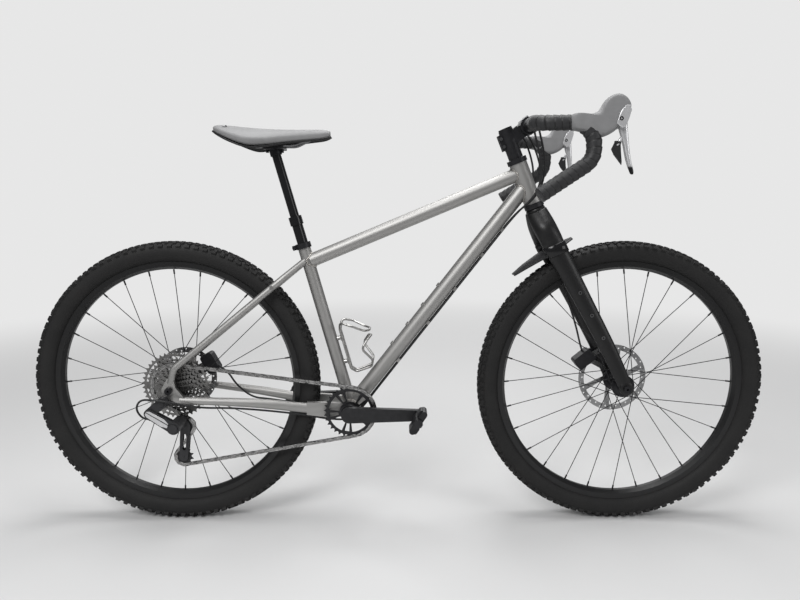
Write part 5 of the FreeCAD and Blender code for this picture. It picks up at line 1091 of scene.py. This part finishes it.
def make_hose(name, route, node):
    """A smooth round hose along its route, in the place of a plain one."""
    curve = bpy.data.curves.new(name, "CURVE")
    curve.dimensions = "3D"
    curve.bevel_depth = hose_radius
    curve.bevel_resolution = 4
    curve.resolution_u = 10
    curve.use_fill_caps = True
    line = curve.splines.new("NURBS")
    line.points.add(len(route) - 1)
    for point, spot in zip(line.points, route):
        point.co = (*spot, 1)
    line.order_u = 3
    line.use_endpoint_u = True
    holder = bpy.data.objects.new(name + "_line", curve)
    scene.collection.objects.link(holder)
    graph = bpy.context.evaluated_depsgraph_get()
    mesh = bpy.data.meshes.new_from_object(holder.evaluated_get(graph))
    bpy.data.objects.remove(holder)
    mesh.materials.clear()
    mesh.materials.append(hose_jacket)
    for polygon in mesh.polygons:
        polygon.use_smooth = True
    piece = bpy.data.objects.new(name, mesh)
    scene.collection.objects.link(piece)
    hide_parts(node)
    return piece


bar_brake_route = ((0.3280, -0.0897, 1.0083), (0.3305, -0.0640, 1.0104), (0.350, -0.041, 0.962),
                   (0.357, -0.034, 0.918), (0.353, -0.031, 0.876), (0.331, -0.031, 0.838),
                   (0.2947, 0.005, 0.8064), (0.2641, 0.007, 0.7669))
bar_shift_route = ((0.3171, -0.0873, 1.0004), (0.3201, -0.066, 1.0023), (0.336, -0.052, 0.958),
                   (0.347, -0.045, 0.912), (0.343, -0.040, 0.868), (0.321, -0.038, 0.834),
                   (0.2947, -0.009, 0.8064), (0.2641, -0.007, 0.7669))
bar_dropper_route = ((0.3171, 0.0873, 1.0004), (0.3201, 0.066, 1.0023), (0.336, 0.050, 0.958),
                     (0.345, 0.040, 0.912), (0.341, 0.033, 0.868), (0.316, 0.024, 0.846),
                     (0.290, 0.016, 0.820))
for name, route in (("bar_brake_hose", bar_brake_route), ("bar_shift_housing", bar_shift_route),
                    ("bar_dropper_housing", bar_dropper_route)):
    piece = make_hose(name, route, "steering_hoses")
    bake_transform(piece)
frame_brake_route = ((0.2639, 0.007, 0.7667), (-0.0516, 0.007, 0.3600), (-0.121, 0.007, 0.267),
                     (-0.185, 0.032, 0.278), (-0.236, 0.0395, 0.2914), (-0.290, 0.0435, 0.2991),
                     (-0.353, 0.048, 0.3078), (-0.396, 0.046, 0.312), (-0.438, 0.044, 0.348),
                     (-0.462, 0.048, 0.388), (-0.501, 0.0504, 0.410))
frame_shift_route = ((0.2639, -0.007, 0.7667), (-0.0516, -0.007, 0.3600), (-0.121, -0.007, 0.267),
                     (-0.185, -0.032, 0.278), (-0.236, -0.0395, 0.2914), (-0.290, -0.0435, 0.2991),
                     (-0.353, -0.052, 0.3088), (-0.430, -0.063, 0.3179), (-0.500, -0.073, 0.3206),
                     (-0.558, -0.111, 0.3465), (-0.600, -0.113, 0.3535), (-0.6356, -0.108, 0.3535),
                     (-0.651, -0.101, 0.3265), (-0.6356, -0.095, 0.2985), (-0.6211, -0.095, 0.2995))
for name, route in (("frame_brake_hose", frame_brake_route), ("frame_shift_housing", frame_shift_route)):
    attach(make_hose(name, route, "frame_hoses"), "frame")
fork_hose_route = ((0.3280, 0.0897, 1.0083), (0.3305, 0.064, 1.0104), (0.354, 0.050, 0.958),
                   (0.366, 0.042, 0.905), (0.365, 0.038, 0.855), tuple(on_fork(0.008, 0.034, 0.470)))
caliper_spots = ((0.012, 0.045, 0.300), (0.003, 0.037, 0.258), (0.000, 0.037, 0.180),
                 (-0.007, 0.048, 0.112), (-0.008, 0.050, 0.088))
caliper_hose_route = tuple(tuple(on_fork(*spot)) for spot in caliper_spots)
for name, route in (("fork_brake_hose", fork_hose_route), ("front_caliper_hose", caliper_hose_route)):
    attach(make_hose(name, route, "front_brake_hose"), "fork")
